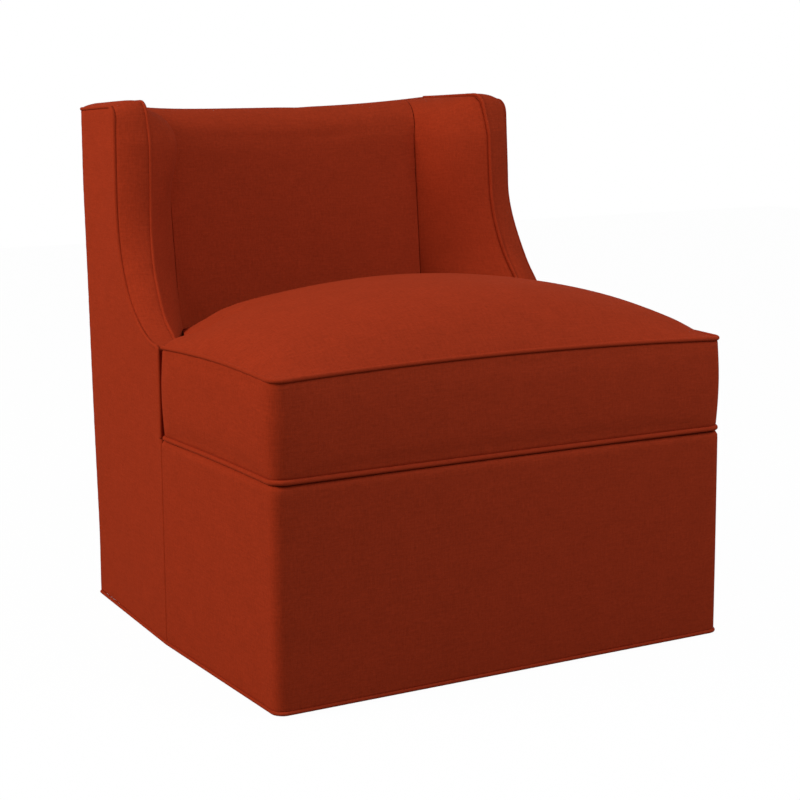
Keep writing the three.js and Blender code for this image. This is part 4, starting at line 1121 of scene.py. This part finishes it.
def lapped():
    """The top with its ears swollen against the wings and its flanks against the inside of the wings."""
    middle = placed(cushion_middle, crown_height_at(cushion_middle))
    ear = placed(cushion_ear, crown_height_at(cushion_ear))
    down = grid_lengths(placed(cushion_ear, 0.0))[1]
    out = np.clip((cushion_ear[..., 0] - notch) / (ear_half - notch), 0, 1)
    ear[..., 1] += lap(down[-1:] - down, ear_lap) * (1 - out ** 4)
    across = grid_lengths(placed(cushion_middle, 0.0))[0]
    gap = np.minimum(across, across[:, -1:] - across)
    depth = cushion_middle[..., 1]
    beyond = smooth((depth - ear_rear + 0.008) / 0.016) * smooth((cushion_rear - depth) / 0.05)
    push = lap(gap, flank_lap) * beyond
    middle[..., 0] += push * math.cos(flank_turn) * np.sign(middle[..., 0])
    middle[..., 1] += push * math.sin(flank_turn)
    seam_share = (1 - np.clip((notch - np.abs(cushion_middle[..., 0])) / lap_reach, 0, 1)) ** 2
    rows = ear.shape[0]
    middle[:rows, :, 1] += (lap(down[-1, 0] - down[:, :1], ear_lap) * seam_share[:rows])
    return middle, ear


def cushion_top():
    middle, ear = lapped()
    piece = cloth("cushion_top_cloth", [middle, ear, mirrored(ear)], cushion_heart, thickness=0.0,
                  ats=cushion_map(middle, ear))
    settled(piece, 4.0, 0.004)
    return dress(piece, rust_cloth, "seat_cushion", "fabric", "cushion_top_panel")


def cushion_underside():
    middle = placed(cushion_middle, seat_welt - 0.0015)
    ear = placed(cushion_ear, seat_welt - 0.0015)
    piece = cloth("cushion_underside_cloth", [middle, ear, mirrored(ear)], cushion_heart, thickness=0.0)
    return dress(piece, rust_cloth, "seat_cushion", "fabric", "cushion_bottom_panel")


def band_line(plan):
    return resampled(plan, np.linspace(0, 1, int(lengths(plan)[-1] / 0.007)))


def cushion_band():
    rows = stations(swoop - seat_welt, True, True, 0.008)
    line = band_line(front_plan)
    low = placed(line, seat_welt)
    high = placed(line, welt_height(line))
    points = low[None] + (high - low)[None] * rows[:, None, None]
    points = sewn(points, cushion_heart, band_bulge * arch(rows)[:, None], 0, 0, welt_roll, welt_roll)
    piece = cloth("cushion_front_band", points, cushion_heart)
    settled(piece, 2.0, 0.002)
    return dress(piece, rust_cloth, "seat_cushion", "fabric", "cushion_boxing")


def zip_middle():
    return (seat_welt + swoop) / 2


def zip_band():
    """The two strips behind the cushion, whose folded edges part over the zip."""
    line = band_line(zip_plan)
    slot = lerp(zip_slot, ease / 2, smooth((np.abs(line[:, 0]) - zip_reach) / 0.004))
    grids = []
    for low, high, folded in ((seat_welt, zip_middle() - slot, "high"), (zip_middle() + slot, None, "low")):
        high = welt_height(line) if high is None else high
        rows = stations(swoop - zip_middle(), True, True, 0.008)[:, None]
        height = lerp(np.broadcast_to(low, len(line)), high, rows)
        share = (height - seat_welt) / (swoop - seat_welt)
        points = placed(np.broadcast_to(line, (*height.shape, 2)), height)
        edges = {"low": welt_roll, "high": welt_roll, folded: zip_fold}
        grids.append(sewn(points, cushion_heart, band_bulge * arch(share), 0, 0, edges["low"], edges["high"]))
    for name, points, nodes in zip(("lower", "upper"), grids, ((), ("cushion_zip_boxing",))):
        piece = cloth(f"cushion_zip_band_{name}", points, cushion_heart)
        dress(piece, rust_cloth, "seat_cushion", "zip_fabric", *nodes)


def box_into(bm, low, high):
    """Adds a box between two corners."""
    low, high = Vector(low), Vector(high)
    made = bmesh.ops.create_cube(bm, size=1.0)["verts"]
    bmesh.ops.scale(bm, verts=made, vec=high - low)
    bmesh.ops.translate(bm, verts=made, vec=(low + high) / 2)
    return made


def chamfered(bm, edges, width, segments):
    bmesh.ops.bevel(bm, geom=edges, offset=width, offset_type="OFFSET", affect="EDGES", segments=segments,
                    profile=0.5, material=-1)


def zip_parts():
    """The woven tape behind the slot and the two rows of teeth on it."""
    face = front_face + cushion_rear + band_bulge
    middle = zip_middle()
    half_long, half_high = zip_reach + 0.004, 0.009
    bm = bmesh.new()
    box_into(bm, (-half_long, face - 0.0012, middle - half_high),
             (half_long, face - 0.0004, middle + half_high))
    chamfered(bm, bm.edges[:], 0.0003, 2)
    tape = finished("zip_tape", bm)
    dress(tape, zip_tape_cloth, "seat_cushion", "zip_fabric")
    bm = bmesh.new()
    pitch_of_teeth, tooth, tooth_reach = 0.0025, 0.0006, 0.0021
    for i in range(int(2 * zip_reach / pitch_of_teeth)):
        x = -zip_reach + (i + 0.5) * pitch_of_teeth
        for side, shift in ((-1, 0.0), (1, pitch_of_teeth / 2)):
            ends = sorted((side * tooth_reach, side * -tooth))
            made = box_into(bm, (x + shift - tooth, face - 0.0005, middle + ends[0]),
                            (x + shift + tooth, face + 0.0010, middle + ends[1]))
            outer = [edge for edge in {e for v in made for e in v.link_edges}
                     if all(v.co.y > face for v in edge.verts)]
            chamfered(bm, outer, 0.0004, 1)
    teeth = finished("zip_teeth", bm, False)
    dress(teeth, zip_nylon, "seat_cushion", "zip_fabric")


def split_outline():
    """The outline as the run with the zip, round the back, and the run round the front and the ears."""
    behind = half_outline[:, 1] >= rear_centre[1] + rear_round * math.sin(flank_turn)
    half, back = half_outline[~behind], half_outline[behind]
    front_run = run(mirrored_plan(back[0]), mirrored_plan(half)[::-1], half, back[0])
    return front_run, run(back, mirrored_plan(back)[::-1])


front_plan, zip_plan = split_outline()
cushion_top()
cushion_underside()
cushion_band()
zip_band()
zip_parts()
top_piping = piping("cushion_top_piping", placed(outline, welt_height(outline)), cushion_piping_radius,
                    closed=True)
dress(top_piping, rust_bias, "seat_cushion", "welt", "cushion_top_welt")
low_piping = piping("cushion_low_piping", placed(outline, seat_welt), low_piping_radius, closed=True)
dress(low_piping, rust_bias, "seat_cushion", "welt", "cushion_bottom_welt")


# Filling and linings
def copied(node_name):
    """A CAD solid as one closed mesh with its doubled points merged."""
    bm = bmesh.new()
    bm.from_mesh(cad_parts[node_name].data)
    for layer in list(bm.loops.layers.uv.values()):
        bm.loops.layers.uv.remove(layer)
    bmesh.ops.remove_doubles(bm, verts=bm.verts, dist=1e-6)
    bmesh.ops.recalc_face_normals(bm, faces=bm.faces)
    return bm


def sliced(bm, step):
    """Cuts a mesh into squares, so that it can sag."""
    low = [min(v.co[k] for v in bm.verts) for k in range(3)]
    high = [max(v.co[k] for v in bm.verts) for k in range(3)]
    for axis in (0, 1):
        direction = Vector((axis == 0, axis == 1, 0))
        for place in np.arange(low[axis] + step / 2, high[axis], step):
            geometry = bm.verts[:] + bm.edges[:] + bm.faces[:]
            bmesh.ops.bisect_plane(bm, geom=geometry, dist=1e-7, plane_co=direction * float(place),
                                   plane_no=direction)


def softened(name, bm, width, segments=3):
    """Rounds the edges of a cut block."""
    piece = finished(name, bm)
    rounding = piece.modifiers.new("rounding", "BEVEL")
    rounding.width = width
    rounding.segments = segments
    rounding.limit_method = "ANGLE"
    rounding.angle_limit = math.radians(40)
    rounding.use_clamp_overlap = True
    return piece


def held_in(bm):
    """Keeps the points of a filling inside the seams of the cushion and under its top."""
    for vert in bm.verts:
        plan = np.array((vert.co.x, vert.co.y - front_face))
        spoke = plan - crown_middle
        limit = np.interp(math.atan2(spoke[1], spoke[0]), reach_turn, reach_far, period=2 * math.pi)
        far = float(np.linalg.norm(spoke))
        plan = crown_middle + spoke * min(1.0, (limit - seam_allowance) / max(far, 1e-9))
        top = float(crown_height_at(plan)) - top_allowance
        vert.co = (plan[0], front_face + plan[1], min(vert.co.z, top))


def held_behind(bm, side):
    """Keeps the foam of a wing behind its inside cloth."""
    seam, uprights = face_line(1.0, face_heights, side)[:len(face_heights)], wing_uprights(side)[2]
    sign = 1.0 if side == "right" else -1.0
    for vert in bm.verts:
        place = np.array((sign * vert.co.x, vert.co.y))
        start, end = (point_at(line, face_heights, vert.co.z)[:2] for line in (seam, uprights))
        chord = end - start
        length = float(np.linalg.norm(chord))
        inward = np.array((chord[1], -chord[0])) / length
        share = float((place - start).dot(chord)) / length ** 2
        proud = float((place - start).dot(inward)) - float(wing_fullness(side, vert.co.z, share)) + foam_sink
        if share < 1 and proud > 0:
            place = place - inward * proud
        vert.co.xy = (sign * place[0], place[1])


def filling(name, node_name, material, slot, body, width):
    bm = copied(node_name)
    if body == "seat_cushion":
        held_in(bm)
    elif node_name.startswith("wing"):
        bmesh.ops.translate(bm, verts=bm.verts, vec=wing_foam_shift)
        if "foam" in node_name:
            held_behind(bm, node_name.split("_")[-1])
    else:
        bmesh.ops.translate(bm, verts=bm.verts, vec=back_foam_shift)
    piece = softened(name, bm, width)
    return dress(piece, material, body, slot, node_name)


for side in ("right", "left"):
    filling(f"wing_foam_block_{side}", f"wing_foam_{side}", cut_foam, "foam", "chair", 0.0012)
    filling(f"wing_edge_padding_{side}", f"wing_edge_pad_{side}", cut_foam, "foam", "chair", 0.0015)
    filling(f"cushion_ear_block_{side}", f"cushion_ear_{side}", cut_foam, "foam", "seat_cushion", 0.003)
filling("back_foam_sheet", "back_foam", cut_foam, "foam", "chair", 0.0015)
filling("cushion_core_block", "cushion_core", cut_foam, "foam", "seat_cushion", 0.003)
filling("cushion_crown_block", "cushion_crown", cut_foam, "foam", "seat_cushion", 0.0015)
filling("cushion_fibre_wrap", "cushion_fibre", polyester_fibre, "fibre", "seat_cushion", 0.0012)

deck_low, deck_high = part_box("deck_cloth")
pad_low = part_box("deck_pad")[0].z
deck_sag = 0.0035
dust_sag = 0.003
spring_pitch = 0.112


def hollow(x, y, low, high):
    """1 at the middle of a lining that is held at its edges, and 0 along them."""
    across = 1 - (x / high.x) ** 2
    along = 1 - ((2 * y - low.y - high.y) / (high.y - low.y)) ** 2
    return max(across, 0.0) * max(along, 0.0)


def dip(x, y):
    """How far the deck hangs down between its seams, with a slight wave over the springs."""
    wave = 1 + 0.15 * math.cos(2 * math.pi * x / spring_pitch)
    return deck_sag * hollow(x, y, deck_low, deck_high) * wave


def woven_flat(bm):
    """Maps the weave of a flat lining from its plan."""
    weave = bm.loops.layers.uv.new("weave")
    for face in bm.faces:
        for loop in face.loops:
            loop[weave].uv = loop.vert.co.xy


def deck():
    bm = copied("deck_pad")
    sliced(bm, 0.020)
    for vert in bm.verts:
        vert.co.z -= dip(vert.co.x, vert.co.y) * (vert.co.z - pad_low) / (deck_low.z - pad_low)
    pad = softened("deck_padding", bm, 0.002, 2)
    dress(pad, felted_pad, "chair", "fibre", "deck_pad")
    bm = copied("deck_cloth")
    sliced(bm, 0.020)
    for vert in bm.verts:
        vert.co.z -= dip(vert.co.x, vert.co.y)
    woven_flat(bm)
    dress(softened("deck_lining", bm, 0.0004, 2), deck_twill, "chair", "lining", "deck_cloth")


def stitches(name, line, length=0.004, gap=0.0012, radius=0.0003):
    """A row of short stitches along a line."""
    at = lengths(line)
    bm = bmesh.new()
    for start in np.arange(0.0, at[-1] - length, length + gap):
        ends = [Vector(point_at(line, at, place)) for place in (start, start + length)]
        made = bmesh.ops.create_cone(bm, cap_ends=True, segments=6, radius1=radius, radius2=radius,
                                     depth=(ends[1] - ends[0]).length)["verts"]
        turn = (ends[1] - ends[0]).to_track_quat("Z", "Y").to_matrix()
        bmesh.ops.rotate(bm, verts=made, matrix=turn)
        bmesh.ops.translate(bm, verts=made, vec=(ends[0] + ends[1]) / 2)
    return finished(name, bm)


def deck_stitching():
    """The seam that holds the deck lining to the base cover."""
    inset = 0.010
    half_x, low_y, high_y = deck_high.x - inset, deck_low.y + inset, front_face + seam_depth - inset
    line = np.array([(-half_x, high_y), (-half_x, low_y), (half_x, low_y), (half_x, high_y)])
    line = resampled(line, np.linspace(0, 1, 300))
    height = np.array([deck_high.z - dip(x, y) + 0.0002 for x, y in line])
    dress(stitches("deck_stitching", np.column_stack([line, height])), deck_thread, "chair", "lining")


def underside():
    """The lining tacked under the frame, with its staples."""
    low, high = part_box("dust_cover")
    bm = copied("dust_cover")
    sliced(bm, 0.025)
    for vert in bm.verts:
        vert.co.z -= dust_sag * hollow(vert.co.x, vert.co.y, low, high)
    woven_flat(bm)
    dress(softened("dust_lining", bm, 0.0003, 2), black_lining, "chair", "lining", "dust_cover")
    bm = bmesh.new()
    line = placed(footprint(0.014), low.z)
    line = np.vstack([line, line[:1]])
    at = lengths(line)
    crown_width, wire, rise = 0.0105, 0.0006, 0.0006
    for start in np.arange(0.02, at[-1], 0.045):
        here, ahead = (point_at(line, at, place % at[-1]) for place in (start, start + 0.001))
        turn = math.atan2(ahead[1] - here[1], ahead[0] - here[0])
        made = box_into(bm, (-crown_width / 2, -wire, -rise), (crown_width / 2, wire, rise * 0.2))
        bmesh.ops.rotate(bm, verts=made, matrix=Matrix.Rotation(turn, 3, "Z"))
        bmesh.ops.translate(bm, verts=made, vec=here)
    staples = softened("dust_lining_staples", bm, 0.0002, 2)
    dress(staples, spring_steel, "chair", "spring_steel")


deck()
deck_stitching()
underside()


# Frame, springs, webbing, glides and slider keep their CAD shapes
def faced(node_name, material):
    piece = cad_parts[node_name]
    if piece.material_slots:
        piece.material_slots[0].material = material
    else:
        piece.data.materials.append(material)


finishes = {
    side_ply: ["wing_frame_right", "wing_frame_left", "side_apron_right", "side_apron_left"],
    cross_ply: ["front_apron", "back_apron"],
    upright_timber: ["corner_post_right", "corner_post_left", "back_post_right", "back_post_left"],
    cross_timber: ["top_back_rail", "seat_back_rail"],
    deep_timber: ["side_rail_right", "side_rail_left"],
    spring_steel: [f"seat_spring_{i}" for i in range(1, 6)],
    jute: ["back_webbing"],
    glide_nylon: [f"glide_{end}_{side}" for end in ("front", "rear") for side in ("right", "left")],
    zip_zinc: ["zip_slider"],
}
for material, names in finishes.items():
    for name in names:
        faced(name, material)


# Camera, light and ground
camera_angles = (30.278, 9.99, -0.352)
camera_place = (-1.3687, front_face - 2.048, 0.8113)
camera_lens = 85.64
floor_glow = 1.045
floor_white = 0.94
floor_colour = (0.30, 0.30, 0.30, 1.0)
sky_colour = (0.94, 1.02, 1.14, 1.0)
sky_strength = 0.25


def camera():
    yaw, pitch_down, roll = (math.radians(angle) for angle in camera_angles)
    forward = Vector((math.sin(yaw) * math.cos(pitch_down), math.cos(yaw) * math.cos(pitch_down),
                      -math.sin(pitch_down)))
    flat = Vector((math.cos(yaw), -math.sin(yaw), 0.0))
    upright = flat.cross(forward)
    right = flat * math.cos(roll) + upright * math.sin(roll)
    upright = right.cross(forward)
    data = bpy.data.cameras.new("camera")
    data.sensor_fit = "HORIZONTAL"
    data.sensor_width = 36.0
    data.lens = camera_lens
    data.clip_end = 50.0
    made = bpy.data.objects.new("camera", data)
    bpy.context.scene.collection.objects.link(made)
    basis = Matrix((right, upright, -forward)).transposed()
    made.matrix_world = Matrix.Translation(camera_place) @ basis.to_4x4()
    bpy.context.scene.camera = made


def lamp(name, place, target, size, power, colour=(1.0, 1.0, 1.0)):
    data = bpy.data.lights.new(name, "AREA")
    data.shape = "DISK"
    data.size = size
    data.energy = power
    data.color = colour
    made = bpy.data.objects.new(name, data)
    bpy.context.scene.collection.objects.link(made)
    made.location = place
    made.rotation_euler = (Vector(target) - Vector(place)).to_track_quat("-Z", "Y").to_euler()


def when_seen(tree):
    """1 where the camera looks, also by way of a gloss or a clear piece."""
    path = node(tree, "ShaderNodeLightPath")
    seen = math_node(tree, "MAXIMUM", path.outputs["Is Camera Ray"], path.outputs["Is Glossy Ray"])
    return math_node(tree, "MAXIMUM", seen, path.outputs["Is Transmission Ray"])


def white_when_seen(tree, shade, strength):
    """A surface that the camera sees as white, and that still takes light and shadow."""
    seen = when_seen(tree)
    glow = node(tree, "ShaderNodeEmission", {"Color": (1.0, 1.0, 1.0, 1.0), "Strength": floor_glow})
    mixed = node(tree, "ShaderNodeMixShader", {0: math_node(tree, "MULTIPLY", seen, strength)})
    tree.links.new(shade, mixed.inputs[1])
    tree.links.new(glow.outputs[0], mixed.inputs[2])
    return mixed.outputs[0]


def studio():
    world = bpy.data.worlds.new("studio")
    bpy.context.scene.world = world
    tree = emptied(world)
    seen = when_seen(tree)
    soft = node(tree, "ShaderNodeBackground", {"Color": sky_colour, "Strength": sky_strength})
    white = node(tree, "ShaderNodeBackground", {"Color": (1.0, 1.0, 1.0, 1.0), "Strength": 1.0})
    mixed = node(tree, "ShaderNodeMixShader", {0: seen})
    tree.links.new(soft.outputs[0], mixed.inputs[1])
    tree.links.new(white.outputs[0], mixed.inputs[2])
    ended(tree, mixed.outputs[0], "ShaderNodeOutputWorld")
    lamp("key", (-3.4, 0.42, 2.3), (0.0, 0.0, 0.4), 1.8, 107.0, (1.0, 0.95, 0.86))
    lamp("front", (0.75, -1.65, 2.05), (0.0, 0.0, 0.5), 1.6, 28.5, (0.94, 1.04, 1.18))


def ground():
    bm = bmesh.new()
    bmesh.ops.create_grid(bm, x_segments=1, y_segments=1, size=6.0)
    floor = finished("floor", bm)
    material = bpy.data.materials.new("pale_floor")
    tree = emptied(material)
    shade = node(tree, "ShaderNodeBsdfDiffuse", {"Color": floor_colour})
    ended(tree, white_when_seen(tree, shade.outputs[0], floor_white))
    floor.data.materials.append(material)


camera()
studio()
ground()
bpy.context.scene.view_settings.view_transform = "Standard"
